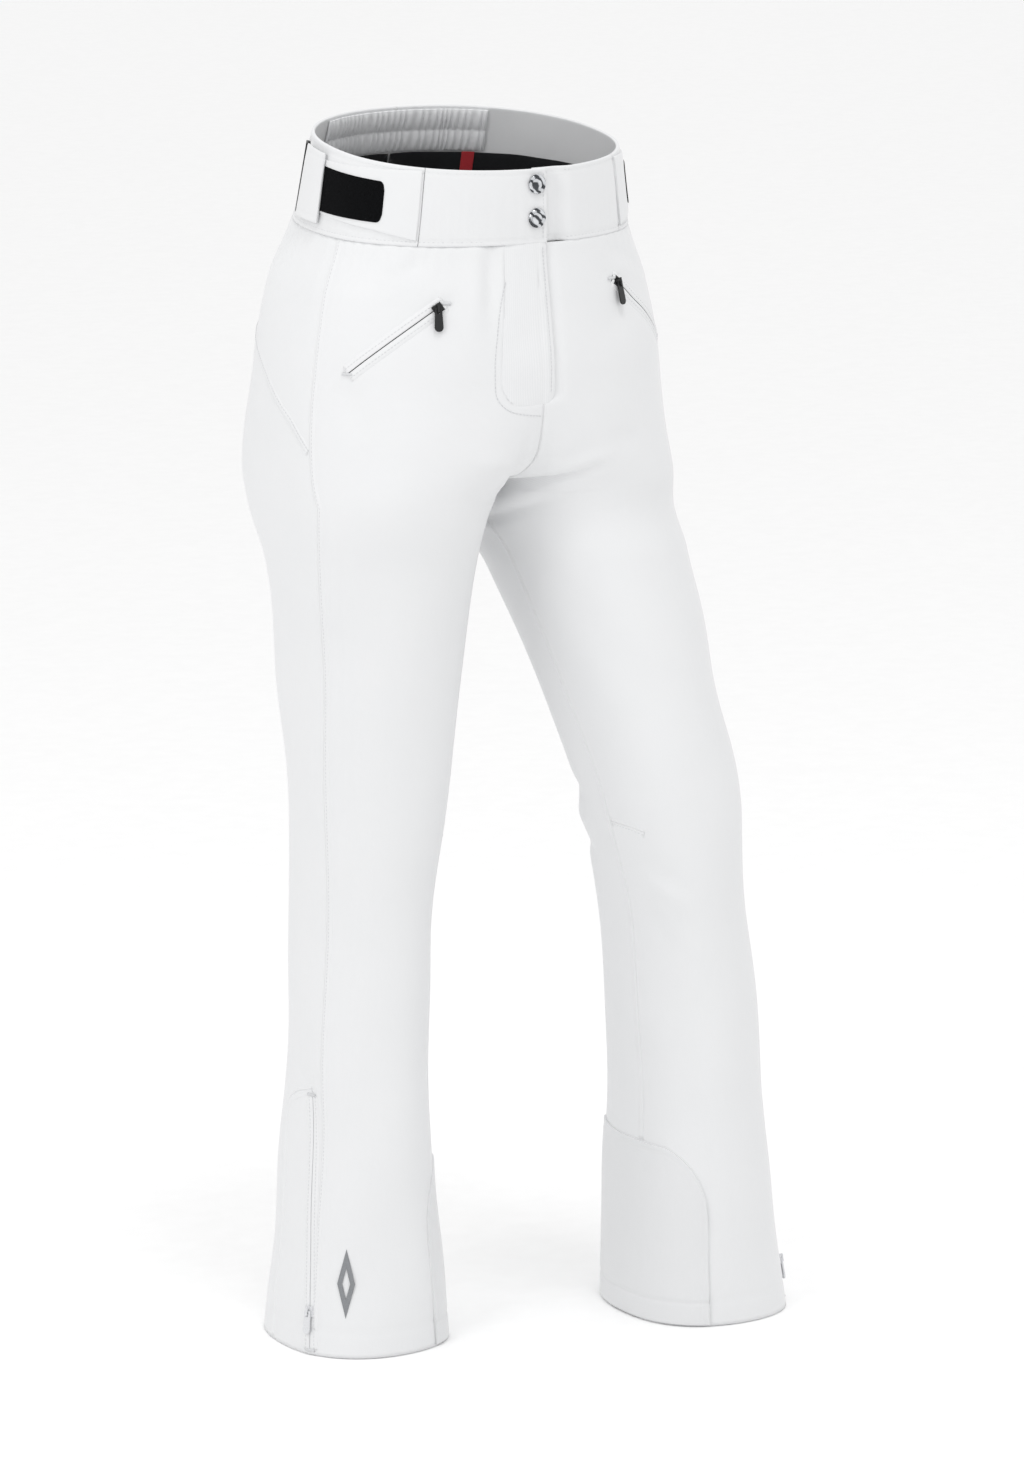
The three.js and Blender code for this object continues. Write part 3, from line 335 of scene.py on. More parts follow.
@dataclass
class Relief:
    """What stands out from the form: slow billows, folds, puckers, and the room under the fly flap."""

    waves: int = 14
    billow: float = 0.34

    def __post_init__(self) -> None:
        """Draws the billows' directions once."""
        rng = np.random.default_rng(SEED)
        length = rng.uniform(70, 240, self.waves)
        heading = unit(rng.normal(size=(self.waves, 3)) * (1, 1, 0.55))
        self._wave = heading * (2 * np.pi / length)[:, None]
        self._phase = rng.uniform(0, 2 * np.pi, self.waves)

    def lift(self, side: Side, share: Array, level: Array) -> Array:
        """Outward lift of the shell in millimetres.

        The sum of: sines across space, each fold of this half, waist puckers that die out in about 30 mm, the hem's
        stitched groove, and the hollow under the fly flap.
        """
        share, level = np.broadcast_arrays(np.asarray(share, float), np.asarray(level, float))
        points = FORM.point(side, share, level)
        lift = self.billow * np.sin(points @ self._wave.T + self._phase).sum(-1)
        lift = lift * (0.25 + 0.75 * smooth_step(5, 60, level)) * (1 - 0.5 * smooth_step(930, 985, level))
        hem_zip, pocket_zip = self.near_hem_zip(share, level), self.near_pocket_zip(side, share, level)
        lift = lift * (1 - hem_zip) * (1 - pocket_zip)
        for fold in FOLDS:
            if fold.side is side:
                lift = lift + fold.lift(points)
        behind = smooth_step(0.5, 0.75, share)
        pucker = np.sin(share * 172 + 2.1 * np.sin(share * 31)) * (0.35 + 1.1 * behind)
        lift = lift + pucker * np.exp(-np.maximum(level, 0) / (24 + 22 * behind)) * smooth_step(0.12, 0.2, share)
        lift = lift - 0.9 * bell(level - HEM_STITCH, 1.6) - 0.7 * bell(level, 2.4)
        lift = lift - 0.8 * pocket_zip - 2.1 * hem_zip * (1 - smooth_step(775, 860, level))
        return lift - self.flap_room(side, points, level)

    @staticmethod
    def near_hem_zip(share: Array, level: Array) -> Array:
        """1 on the hem zip's line, falling to 0 about 20 mm away from it."""
        (share_top, top), (share_foot, foot) = HEM_ZIP_LINE
        line = share_top + (share_foot - share_top) * (level - top) / (foot - top)
        return bell((share - line) * 500, 10) * smooth_step(top - 24, top - 8, level)

    @staticmethod
    def near_pocket_zip(side: Side, share: Array, level: Array) -> Array:
        """1 on the pocket zip's line, falling to 0 about 18 mm away from it."""
        start, end = POCKET_LINE[side]
        along = np.clip((share - start[0]) / (end[0] - start[0]), 0, 1)
        off = level - (start[1] + (end[1] - start[1]) * along)
        beyond = smooth_step(0.0, 0.04, start[0] - share) + smooth_step(0.0, 0.04, share - end[0])
        return bell(off, 9) * (1 - np.clip(beyond, 0, 1))

    @staticmethod
    def flap_room(side: Side, points: Array, level: Array) -> Array:
        """How far the shell sinks to make room for the flap and the zip under it."""
        across = np.abs(points[..., 0])
        ends = 1 - smooth_step(FLAP_DROP - 11, FLAP_DROP - 2, level)
        front = points[..., 1] < 0
        if side is Side.RIGHT:
            inside = 1 - smooth_step(-6.5, -1.0, across - flap_right_x(level))
            return np.where(front, FLAP_ROOM * inside * ends, 0.0)
        under = FLAP_ROOM * (1 - smooth_step(6, 8.5, across))
        lap = 2.9 * (1 - smooth_step(FLAP_EDGE + 0.5, FLAP_EDGE + 13, across))
        return np.where(front, np.maximum(under, lap) * ends, 0.0)


RELIEF = Relief()


def on_shell(side: Side, share: Array, level: Array, height: Array = 0.0) -> Array:
    """A point at a height above the shell's face, folds included."""
    lift = RELIEF.lift(side, share, level) + np.asarray(height, float)
    return FORM.point(side, share, level) + lift[..., None] * FORM.outward(side, share, level)


# ---------------------------------------------------------------- meshes


def grid_quads(rows: int, columns: int, wrap_rows: bool = False, wrap_columns: bool = False) -> Array:
    """Faces of a grid whose vertex (r, c) has the index r * columns + c."""
    r = np.arange(rows if wrap_rows else rows - 1)
    c = np.arange(columns if wrap_columns else columns - 1)
    r, c = (part.ravel() for part in np.meshgrid(r, c, indexing="ij"))
    r2, c2 = (r + 1) % rows, (c + 1) % columns
    return np.stack([r * columns + c, r2 * columns + c, r2 * columns + c2, r * columns + c2], -1)


def build_mesh(name: str, points: Array, quads: Array, tris: Optional[Array] = None, uv: Optional[Array] = None,
               weld: float = 0.0) -> bpy.types.Object:
    """Makes an object from arrays, with all faces turned outwards once its doubles are joined.

    Args:
        name: the piece's name.
        points: (n, 3) in millimetres.
        quads: (m, 4) vertex indices.
        tris: (k, 3) vertex indices, or None.
        uv: (n, 2) in metres of cloth, or None.
        weld: joins points nearer than this, in millimetres.

    Returns:
        The object, at the origin, shaded smooth.
    """
    tris = np.zeros((0, 3), int) if tris is None else tris
    loops = np.concatenate([quads.ravel(), tris.ravel()]).astype(np.int32)
    sizes = np.concatenate([np.full(len(quads), 4), np.full(len(tris), 3)]).astype(np.int32)
    starts = np.concatenate([[0], np.cumsum(sizes)[:-1]]).astype(np.int32)
    mesh = bpy.data.meshes.new(name)
    mesh.vertices.add(len(points))
    mesh.vertices.foreach_set("co", (points * MM).astype(np.float32).ravel())
    mesh.loops.add(len(loops))
    mesh.loops.foreach_set("vertex_index", loops)
    mesh.polygons.add(len(sizes))
    mesh.polygons.foreach_set("loop_start", starts)
    mesh.polygons.foreach_set("loop_total", sizes)
    mesh.polygons.foreach_set("use_smooth", np.ones(len(sizes), bool))
    if uv is not None:
        layer = mesh.uv_layers.new(name="Cloth")
        layer.data.foreach_set("uv", uv[loops].astype(np.float32).ravel())
    mesh.update(calc_edges=True)
    mesh.validate()
    work = bmesh.new()
    work.from_mesh(mesh)
    if weld:
        bmesh.ops.remove_doubles(work, verts=work.verts, dist=weld * MM)
    bmesh.ops.recalc_face_normals(work, faces=work.faces)
    work.to_mesh(mesh)
    work.free()
    piece = bpy.data.objects.new(name, mesh)
    bpy.context.scene.collection.objects.link(piece)
    return piece


def thicken(piece: bpy.types.Object, thick: float) -> bpy.types.Object:
    """Gives a skin its wall with Solidify, inwards, and applies it."""
    wall = piece.modifiers.new("wall", "SOLIDIFY")
    wall.thickness = thick * MM
    wall.offset = -1.0
    wall.use_even_offset = False
    return apply_modifiers(piece)


def run_length(points: Array) -> Array:
    """The distance along a line of points from its start to each of them."""
    return np.concatenate([[0], np.cumsum(np.linalg.norm(np.diff(points, axis=0), axis=1))])


def end_fans(first: Array, last: Array, centre: int) -> Array:
    """Triangles that close a strip's first and last ring, to the points centre and centre + 1."""
    return np.concatenate([np.stack([first, np.roll(first, -1), np.full(len(first), centre)], -1),
                           np.stack([np.roll(last, -1), last, np.full(len(last), centre + 1)], -1)])


def apply_modifiers(piece: bpy.types.Object) -> bpy.types.Object:
    """Bakes a piece's modifiers into its mesh."""
    graph = bpy.context.evaluated_depsgraph_get()
    graph.update()
    done = bpy.data.meshes.new_from_object(piece.evaluated_get(graph))
    done.name = piece.name
    piece.modifiers.clear()
    piece.data = done
    return piece


def slab_profile(thick: float, corner: float, count: int) -> tuple:
    """A closed rounded band section as three runs of numbers.

    Round a rectangle with corner arcs: the first run is the share across the height, 0 at the top and 1 at the
    foot; the second is an inset in millimetres; the third is 1 on the face and -1 on the back.

    Args:
        thick: the band's thickness.
        corner: the radius of its edges.
        count: points across each face.

    Returns:
        share, inset and side arrays of one length.
    """
    radius = min(corner, thick / 2)
    arc = np.linspace(0, np.pi / 2, 5)
    flat = np.linspace(0, 1, count)
    share = np.concatenate([flat, np.ones(5), np.ones(5), flat[::-1], np.zeros(5), np.zeros(5)])
    inset = np.concatenate([np.zeros(count), radius * (1 - np.sin(arc)), radius * (1 - np.cos(arc)),
                            np.zeros(count), radius * (1 - np.sin(arc)), radius * (1 - np.cos(arc))])
    half = thick / 2
    near = (half - radius + radius * np.cos(arc)) / half
    far = -(half - radius + radius * np.sin(arc)) / half
    inset[:count] = radius
    inset[count + 10:2 * count + 10] = radius
    face = np.concatenate([np.ones(count), near, far, -np.ones(count), -near, -far])
    return share, inset, face


def band_piece(name: str, place: Place, ways: Array, top: Array, foot: Array, outer: Array, inner: Array,
               corner: float = 1.2, count: int = 24, swell: Optional[Callable] = None) -> bpy.types.Object:
    """A closed strip of cloth wrapped on the form.

    A rounded section, carried along a run of ways round the form, with its two ends closed by fans.

    Args:
        name: the piece's name.
        place: gives points for (way, level, depth).
        ways: the run of ways.
        top, foot: the strip's edges as levels, one value or one for each way.
        outer, inner: its face and back as depths, one value or one for each way.
        corner: its edge radius.
        count: points across each face.
        swell: lift outwards for (way, share across, face) in millimetres, or None.

    Returns:
        The piece.
    """
    ways = np.asarray(ways, float)
    top, foot, outer, inner = (np.broadcast_to(np.asarray(v, float), ways.shape) for v in (top, foot, outer, inner))
    share, inset, face = slab_profile(float(np.mean(inner - outer)), corner, count)
    share, inset, face = (run[:, None] for run in (share, inset, face))
    level = top + inset + (foot - top - 2 * inset) * share
    depth = (outer + inner) / 2 - face * (inner - outer) / 2
    if swell is not None:
        depth = depth - swell(np.broadcast_to(ways, depth.shape), np.broadcast_to(share, depth.shape),
                              np.broadcast_to(face, depth.shape))
    points = place(np.broadcast_to(ways, depth.shape), level, depth)
    rows, columns = depth.shape
    length = run_length(points[0])
    uv = np.stack([np.broadcast_to(length, depth.shape), level], -1).reshape(-1, 2) * MM
    flat = points.reshape(-1, 3)
    ends = np.stack([points[:, 0].mean(0), points[:, -1].mean(0)])
    uv_ends = np.stack([uv[0], uv[columns - 1]])
    first = np.arange(rows) * columns
    tris = end_fans(first, first + columns - 1, len(flat))
    return build_mesh(name, np.concatenate([flat, ends]), grid_quads(rows, columns, wrap_rows=True), tris,
                      np.concatenate([uv, uv_ends]), weld=0.005)


def path_on(side: Side, stops: Sequence[tuple], pitch: float = 3.0) -> tuple:
    """Evenly spaced shares and levels along straight runs between stops, about pitch millimetres apart."""
    stops = np.asarray(stops, float)
    points = FORM.point(side, stops[:, 0], stops[:, 1])
    length = run_length(points)
    at = np.linspace(0, length[-1], max(int(length[-1] / pitch), 2) + 1)
    share = smooth_curve(length, stops[:, 0])(at)
    return share, smooth_curve(length, stops[:, 1])(at)


def beside(side: Side, share: Array, level: Array, offset: Array) -> tuple:
    """Shares and levels set off sideways from a path by offsets in millimetres, to the right of its direction."""
    girth = np.linalg.norm(FORM.point(side, share + 0.004, level) - FORM.point(side, share - 0.004, level), axis=-1)
    girth = np.maximum(girth / 0.008, 60.0)
    run = unit(np.stack([np.gradient(share) * girth, np.gradient(level)], -1))
    return share[..., None] + offset * (-run[:, 1:2]) / girth[:, None], level[..., None] + offset * run[:, 0:1]


def laid_strip(name: str, side: Side, stops: Sequence[tuple], section: Sequence[tuple],
               pitch: float = 3.0) -> bpy.types.Object:
    """A strip laid along a path on the shell.

    Its closed section, as (offset sideways, height) pairs, is carried along the path, each point standing on the
    shell where it lies, and its ends are closed by fans.
    """
    share, level = path_on(side, stops, pitch)
    offset, height = np.array(section, float).T
    across_share, across_level = beside(side, share, level, offset[None, :])
    points = on_shell(side, across_share, across_level, np.broadcast_to(height, across_share.shape))
    rows, columns = across_share.shape
    flat = points.reshape(-1, 3)
    length = run_length(points[:, 0])
    uv = np.stack([np.broadcast_to(offset, across_share.shape),
                   np.broadcast_to(length[:, None], across_share.shape)], -1).reshape(-1, 2) * MM
    ends = np.stack([points[0].mean(0), points[-1].mean(0)])
    first = np.arange(columns)
    tris = end_fans(first, first + (rows - 1) * columns, len(flat))
    return build_mesh(name, np.concatenate([flat, ends]), grid_quads(rows, columns, wrap_columns=True), tris,
                      np.concatenate([uv, uv[:1], uv[-1:]]))


WELT = ((-3.2, -0.5), (-2.4, 0.16), (-1.2, 0.34), (-0.55, 0.30), (-0.05, -0.35), (0.25, 0.6), (0.9, 0.95),
        (2.2, 0.8), (3.4, 0.5), (5.2, 0.15), (6.4, -0.5), (1.0, -0.9))


@dataclass
class Thread:
    """Topstitching: small raised stitches along paths."""

    pitch: float = 3.4
    length: float = 2.5
    radius: float = 0.3

    def row(self, side: Side, stops: Sequence[tuple], offset: float = 0.0, height: float = 0.35,
            stand: Optional[Callable] = None) -> Array:
        """Centres, directions and outward normals of one row of stitches, stacked as (n, 3, 3)."""
        share, level = path_on(side, stops, self.pitch)
        share, level = (part[:, 0] for part in beside(side, share, level, np.array([[offset]])))
        points = (stand or on_shell)(side, share, level, np.full(share.shape, height))
        along = unit(np.diff(points, axis=0))
        middle = (points[1:] + points[:-1]) / 2
        out = FORM.outward(side, share[1:], level[1:])
        return np.stack([middle, along, out], 1)

    def piece(self, name: str, rows: Sequence[Array]) -> bpy.types.Object:
        """All stitches as one mesh: a six-sided bead with pointed ends, placed at every stitch."""
        frames = np.concatenate(rows)
        turn = np.arange(6) * np.pi / 3
        ring = np.stack([np.cos(turn), np.sin(turn)], -1) * self.radius
        stations = ((-0.5, 0.45, -0.25), (-0.3, 1.0, 0.0), (0.3, 1.0, 0.0), (0.5, 0.45, -0.25))
        local = np.concatenate([
            np.stack([np.full(6, at * self.length), ring[:, 0] * wide, ring[:, 1] * wide * 0.8 + low], -1)
            for at, wide, low in stations])
        middle, along, out = frames[:, 0], frames[:, 1], frames[:, 2]
        side_ = unit(np.cross(out, along))
        out = np.cross(along, side_)
        points = (middle[:, None] + local[None, :, 0:1] * along[:, None] + local[None, :, 1:2] * side_[:, None]
                  + local[None, :, 2:3] * out[:, None])
        quads = grid_quads(4, 6, wrap_columns=True)
        caps = np.array([[0, 5, 4, 3], [0, 3, 2, 1], [18, 19, 20, 21], [18, 21, 22, 23]])
        one = np.concatenate([quads, caps])
        many = (one[None] + (np.arange(len(frames)) * 24)[:, None, None]).reshape(-1, 4)
        return build_mesh(name, points.reshape(-1, 3), many)


THREAD = Thread()


# ---------------------------------------------------------------- finishes


def linear(hex_colour: str) -> tuple:
    """A #rrggbb colour in sRGB as linear red, green, blue and alpha."""
    parts = [int(hex_colour[i:i + 2], 16) / 255 for i in (1, 3, 5)]
    return (*(p / 12.92 if p <= 0.04045 else ((p + 0.055) / 1.055) ** 2.4 for p in parts), 1.0)


def add_node(tree: bpy.types.NodeTree, kind: str, links: Optional[dict] = None, **settings) -> bpy.types.Node:
    """Adds a node with its settings and links.

    Args:
        tree: the material's tree.
        kind: the node's type, such as "ShaderNodeTexNoise".
        links: input name or number to the output socket that feeds it.
        settings: node properties, or input values where the name is an input's with spaces as underscores.

    Returns:
        The node.
    """
    node = tree.nodes.new(kind)
    for key, value in settings.items():
        socket = node.inputs.get(key.replace("_", " "))
        if socket is not None:
            socket.default_value = value
        else:
            setattr(node, key, value)
    for key, source in (links or {}).items():
        tree.links.new(node.inputs[key], source)
    return node


def ramp(tree: bpy.types.NodeTree, source: bpy.types.NodeSocket, stops: Sequence[tuple]) -> bpy.types.NodeSocket:
    """A colour ramp from (place, hex colour) stops, fed by source."""
    node = add_node(tree, "ShaderNodeValToRGB", {"Fac": source})
    while len(node.color_ramp.elements) < len(stops):
        node.color_ramp.elements.new(0.5)
    for element, (place, colour) in zip(node.color_ramp.elements, stops):
        element.position = place
        element.color = linear(colour)
    return node.outputs["Color"]


def new_material(name: str) -> tuple:
    """An empty node material with a Principled shader joined to its output.

    Returns:
        The material, its tree and the shader node.
    """
    material = bpy.data.materials.new(name)
    material.use_nodes = True
    tree = material.node_tree
    tree.nodes.clear()
    shader = tree.nodes.new("ShaderNodeBsdfPrincipled")
    add_node(tree, "ShaderNodeOutputMaterial", {"Surface": shader.outputs["BSDF"]})
    return material, tree, shader


def roughen(tree: bpy.types.NodeTree, shader: bpy.types.Node, grain: bpy.types.Node, low: float, high: float) -> None:
    """Lets a noise node move the shader's roughness between low and high."""
    rough = add_node(tree, "ShaderNodeMapRange", {"Value": grain.outputs["Fac"]}, To_Min=low, To_Max=high)
    tree.links.new(shader.inputs["Roughness"], rough.outputs["Result"])


@dataclass(frozen=True)
class Cloth:
    """Woven cloth: a plain weave on the piece's own cloth coordinates, slow shade changes and a soft sheen."""

    name: str
    light: str
    dark: str
    thread_mm: float
    weave: float = 0.12
    crumple: float = 0.25
    crumple_mm: float = 9.0
    roughness: float = 0.7
    sheen: float = 0.2
    on_uv: bool = True

    def make(self) -> bpy.types.Material:
        """Two crossed runs of threads make the weave's bump; noise makes shade, roughness and crumple."""
        material, tree, shader = new_material(self.name)
        coord = add_node(tree, "ShaderNodeTexCoord")
        where = coord.outputs["UV" if self.on_uv else "Object"]
        solid = coord.outputs["Object"]
        per_metre = 1000.0 / self.thread_mm
        scaled = add_node(tree, "ShaderNodeMapping", {"Vector": where}, Scale=(per_metre, per_metre, per_metre))
        warp, weft = (
            add_node(tree, "ShaderNodeTexWave", {"Vector": scaled.outputs["Vector"]}, wave_type="BANDS",
                     bands_direction=axis, Scale=0.3142, Distortion=0.6, Detail=1.0, Detail_Scale=1.5)
            for axis in ("X", "Y"))
        threads = add_node(tree, "ShaderNodeMath", {0: warp.outputs["Fac"], 1: weft.outputs["Fac"]},
                           operation="MULTIPLY")
        shade = add_node(tree, "ShaderNodeTexNoise", {"Vector": solid}, Scale=14.0, Detail=3.0, Roughness=0.5)
        grain = add_node(tree, "ShaderNodeTexNoise", {"Vector": solid}, Scale=1000.0 / self.crumple_mm,
                         Detail=4.0, Roughness=0.55)
        mixed = add_node(tree, "ShaderNodeMath", {0: shade.outputs["Fac"], 1: threads.outputs["Value"]},
                         operation="MULTIPLY_ADD")
        mixed.inputs[2].default_value = 0.18
        tree.links.new(shader.inputs["Base Color"],
                       ramp(tree, mixed.outputs["Value"], ((0.15, self.dark), (0.6, self.light))))
        roughen(tree, shader, grain, self.roughness - 0.06, self.roughness + 0.06)
        fine = add_node(tree, "ShaderNodeBump", {"Height": threads.outputs["Value"]}, Strength=self.weave,
                        Distance=self.thread_mm * 0.25 * MM)
        broad = add_node(tree, "ShaderNodeBump", {"Height": grain.outputs["Fac"], "Normal": fine.outputs["Normal"]},
                         Strength=self.crumple, Distance=self.crumple_mm * 0.06 * MM)
        tree.links.new(shader.inputs["Normal"], broad.outputs["Normal"])
        shader.inputs["Sheen Weight"].default_value = self.sheen
        shader.inputs["Sheen Roughness"].default_value = 0.45
        shader.inputs["Specular IOR Level"].default_value = 0.35
        return material


@dataclass(frozen=True)
class LoopPile:
    """Black hook-and-loop pile: a rough bed of tiny loops that catches no highlight."""

    name: str = "loop pile, nylon"
    light: str = "#101113"
    dark: str = "#030304"
    loop_mm: float = 0.9

    def make(self) -> bpy.types.Material:
        """Cell noise a loop wide gives the pile its bump and shade."""
        material, tree, shader = new_material(self.name)
        coord = add_node(tree, "ShaderNodeTexCoord")
        cells = add_node(tree, "ShaderNodeTexVoronoi", {"Vector": coord.outputs["Object"]},
                         Scale=1000.0 / self.loop_mm)
        tree.links.new(shader.inputs["Base Color"],
                       ramp(tree, cells.outputs["Distance"], ((0.0, self.light), (0.8, self.dark))))
        bump = add_node(tree, "ShaderNodeBump", {"Height": cells.outputs["Distance"]}, Strength=0.8,
                        Distance=0.5 * MM)
        tree.links.new(shader.inputs["Normal"], bump.outputs["Normal"])
        shader.inputs["Roughness"].default_value = 0.95
        shader.inputs["Specular IOR Level"].default_value = 0.1
        return material


@dataclass(frozen=True)
class Metal:
    """Polished nickel-plated brass: bright, with painted reflections, dark streaks in its colour that break up the
    mirror, and fine random wear in its roughness.
    """

    name: str = "nickel plate, polished"
    colour: str = "#d5d7da"
    # The dark tone of the painted reflections.
    worn: str = "#4a4c4f"
    roughness: float = 0.12

    def make(self) -> bpy.types.Material:
        """Painted reflections: streaks a few millimetres wide darken the plate's colour; fine noise moves the
        roughness.
        """
        material, tree, shader = new_material(self.name)
        coord = add_node(tree, "ShaderNodeTexCoord")
        wear = add_node(tree, "ShaderNodeTexNoise", {"Vector": coord.outputs["Object"]}, Scale=900.0, Detail=5.0)
        painted_reflection_streak = add_node(tree, "ShaderNodeTexWave", {"Vector": coord.outputs["Object"]}, bands_direction="DIAGONAL",
                          Scale=70.0, Distortion=5.0, Detail=2.0, Detail_Scale=1.2)
        # Painted reflection: the streaks darken the plate's colour to stand in for what it mirrors.
        tree.links.new(shader.inputs["Base Color"],
                       ramp(tree, painted_reflection_streak.outputs["Fac"], ((0.25, self.worn), (0.65, self.colour))))
        roughen(tree, shader, wear, self.roughness - 0.06, self.roughness + 0.12)
        shader.inputs["Metallic"].default_value = 1.0
        return material


@dataclass(frozen=True)
class Moulded:
    """Moulded acetal or nylon: a faint orange-peel grain."""

    name: str
    colour: str
    worn: str
    roughness: float = 0.42
    grain_mm: float = 0.7

    def make(self) -> bpy.types.Material:
        """Noise at the grain's size gives bump, tone and roughness."""
        material, tree, shader = new_material(self.name)
        coord = add_node(tree, "ShaderNodeTexCoord")
        grain = add_node(tree, "ShaderNodeTexNoise", {"Vector": coord.outputs["Object"]},
                         Scale=1000.0 / self.grain_mm, Detail=3.0)
        tree.links.new(shader.inputs["Base Color"],
                       ramp(tree, grain.outputs["Fac"], ((0.35, self.colour), (0.7, self.worn))))
        roughen(tree, shader, grain, self.roughness - 0.08, self.roughness + 0.1)
        bump = add_node(tree, "ShaderNodeBump", {"Height": grain.outputs["Fac"]}, Strength=0.15, Distance=0.05 * MM)
        tree.links.new(shader.inputs["Normal"], bump.outputs["Normal"])
        return material


FINISHES = {
    "shell": Cloth("softshell polyester, laminated", "#e5e5e6", "#dddedf", thread_mm=0.9),
    "band": Cloth("softshell polyester, band", "#e4e4e5", "#dcddde", thread_mm=0.9, crumple=0.3),
    "guard": Cloth("coated abrasion nylon", "#e1e1e2", "#d8d9da", thread_mm=0.7, roughness=0.55, weave=0.2),
    "lining": Cloth("lining taffeta, black", "#1d1e21", "#0c0d0f", thread_mm=0.5, roughness=0.5, crumple=0.6),
    "elastic": Cloth("gathered lining over elastic", "#e6e6e7", "#dcdddf", thread_mm=0.6, crumple=0.5),
    "gaiter": Cloth("gaiter taffeta, white", "#e2e2e3", "#d6d7d9", thread_mm=0.5, crumple=0.6),
    "grip": Cloth("elastic webbing, black", "#242528", "#101113", thread_mm=1.2, weave=0.6),
    "tape_white": Cloth("zip tape, woven white", "#dcdcdd", "#cfd0d2", thread_mm=0.6, weave=0.4),
    "tape": Cloth("zip tape, woven black", "#1c1d1f", "#0d0e0f", thread_mm=0.6, weave=0.4),
    "pocketing": Cloth("pocketing mesh", "#e6e9eb", "#d3d7da", thread_mm=1.4, weave=0.8),
    "label": Cloth("woven label, red", "#c2333b", "#9c2128", thread_mm=0.5, weave=0.5),
    "thread": Cloth("spun polyester thread", "#d9dadb", "#c9cacc", thread_mm=0.4, weave=0.5, on_uv=False),
    "loop": LoopPile(),
    "chrome": Metal(),
    "zip": Moulded("moulded acetal, black", "#0b0c0d", "#17181a"),
    "trim": Moulded("moulded acetal, white", "#dcdddf", "#cccdd0"),
    "print": Moulded("transfer print, grey", "#77797c", "#8c8e91", roughness=0.5, grain_mm=0.4),
}
_MADE: dict = {}


def dress(piece: bpy.types.Object, finish: str) -> bpy.types.Object:
    """Gives a piece its finish's material, made once and shared."""
    if finish not in _MADE:
        _MADE[finish] = FINISHES[finish].make()
    piece.data.materials.clear()
    piece.data.materials.append(_MADE[finish])
    return piece


def report(piece: bpy.types.Object) -> bpy.types.Object:
    """Logs a piece's name and size."""
    LOG.info("%s: %d faces", piece.name, len(piece.data.polygons))
    return piece


def knee_bend(piece: bpy.types.Object) -> bpy.types.Object:
    """Bakes a piece's transform into its mesh."""
    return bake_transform(piece)


def keep_node(name: str, finish: str) -> bpy.types.Object:
    """Finishes a hard piece that is shown as the frame has it."""
    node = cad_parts[name]
    bevel = node.modifiers.new("edge", "BEVEL")
    bevel.width = EDGE_WIDTH * MM
    bevel.segments = 2
    bevel.limit_method = "ANGLE"
    bevel.angle_limit = math.radians(EDGE_ANGLE)
    return dress(node, finish)


# ---------------------------------------------------------------- the pants


@dataclass
class LegShell:
    """One half of the garment: seat, leg, seams and stitching."""

    side: Side
    columns: int = 166
    torso_rows: int = 84
    leg_rows: int = 198

    def seams(self) -> dict:
        """The seam lines of this half as stops of (share, level)."""
        side = [(0.442, 2), (0.434, 77), (0.44, 192), (0.446, 400), (0.45, 530), (0.452, 673), (0.447, 988)]
        yoke = [(0.995, 62), (0.82, 84), (0.647, 106), (0.532, 144), (0.447, 184)]
        inseam = [(0.004, 234), (0.0, 418), (0.0, 530), (0.0, 700), (0.0, 824)]
        knee = [(0.004, KNEE_DROP - 4), (0.05, KNEE_DROP - 2), (0.088, KNEE_DROP + 2)]
        gusset = [(0.494, 757), (0.53, 764), (0.572, 784), (0.574, 800), (0.566, 900), (0.556, 988)]
        return {"side": side, "yoke": yoke, "inseam": inseam, "knee": knee, "gusset": gusset}

    def skin(self) -> bpy.types.Object:
        """The outer cloth as one skin with its wall, closed below the crotch."""
        torso = np.linspace(0.6, CROTCH_DROP, self.torso_rows, endpoint=False)
        leg = np.linspace(CROTCH_DROP, HEM_DROP, self.leg_rows)
        level = np.concatenate([torso, leg])
        share = np.linspace(0, 1, self.columns + 1)
        share = share - 0.03 * np.sin(2 * np.pi * share) / (2 * np.pi)
        points = on_shell(self.side, share[None, :], level[:, None])
        torso_row = (level < CROTCH_DROP)[:, None]
        edge = torso_row & ((share == 0) | (share == 1))[None, :]
        points[..., 0] = np.where(edge, 0.0, points[..., 0])
        past = points[..., 0] * self.side.value < 0
        points[..., 0] = np.where(torso_row & past, 0.0, points[..., 0])
        last = level >= CROTCH_DROP
        points[last, -1] = points[last, 0]
        across = (share - 0.5) * CLOTH_GIRTH
        uv = np.stack(np.broadcast_arrays(across[None, :], level[:, None]), -1).reshape(-1, 2) * MM
        rows, columns = points.shape[:2]
        piece = build_mesh(f"shell_{self.side.word}", points.reshape(-1, 3), grid_quads(rows, columns), uv=uv,
                           weld=0.004)
        return thicken(piece, SHELL_THICK)

    def trims(self) -> list:
        """The seams' folded edges."""
        word = self.side.word
        return [laid_strip(f"seam_{name}_{word}", self.side, stops, WELT) for name, stops in self.seams().items()]

    def stitching(self) -> bpy.types.Object:
        """One row beside the yoke, the side seam and the knee seam, and the hem's row."""
        seams = self.seams()
        rows = [THREAD.row(self.side, seams[name], offset=offset, height=0.75)
                for name, offset in (("yoke", 3.4), ("side", 2.2), ("knee", 2.2))]
        rows.append(THREAD.row(self.side, [(0.2, HEM_STITCH), (0.6, HEM_STITCH), (0.84, HEM_STITCH)], height=0.0))
        return THREAD.piece(f"stitching_{self.side.word}", rows)

    def build(self) -> None:
        """Makes the half and gives it its finishes."""
        word = self.side.word
        shell = report(dress(self.skin(), "shell"))
        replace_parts(shell, *(f"{part}_{word}" for part in
                             ("body_front", "body_back", "knee_section", "shin_front", "shin_back")))
        knee_bend(shell)
        for trim in self.trims():
            knee_bend(dress(trim, "shell"))
        knee_bend(dress(self.stitching(), "thread"))


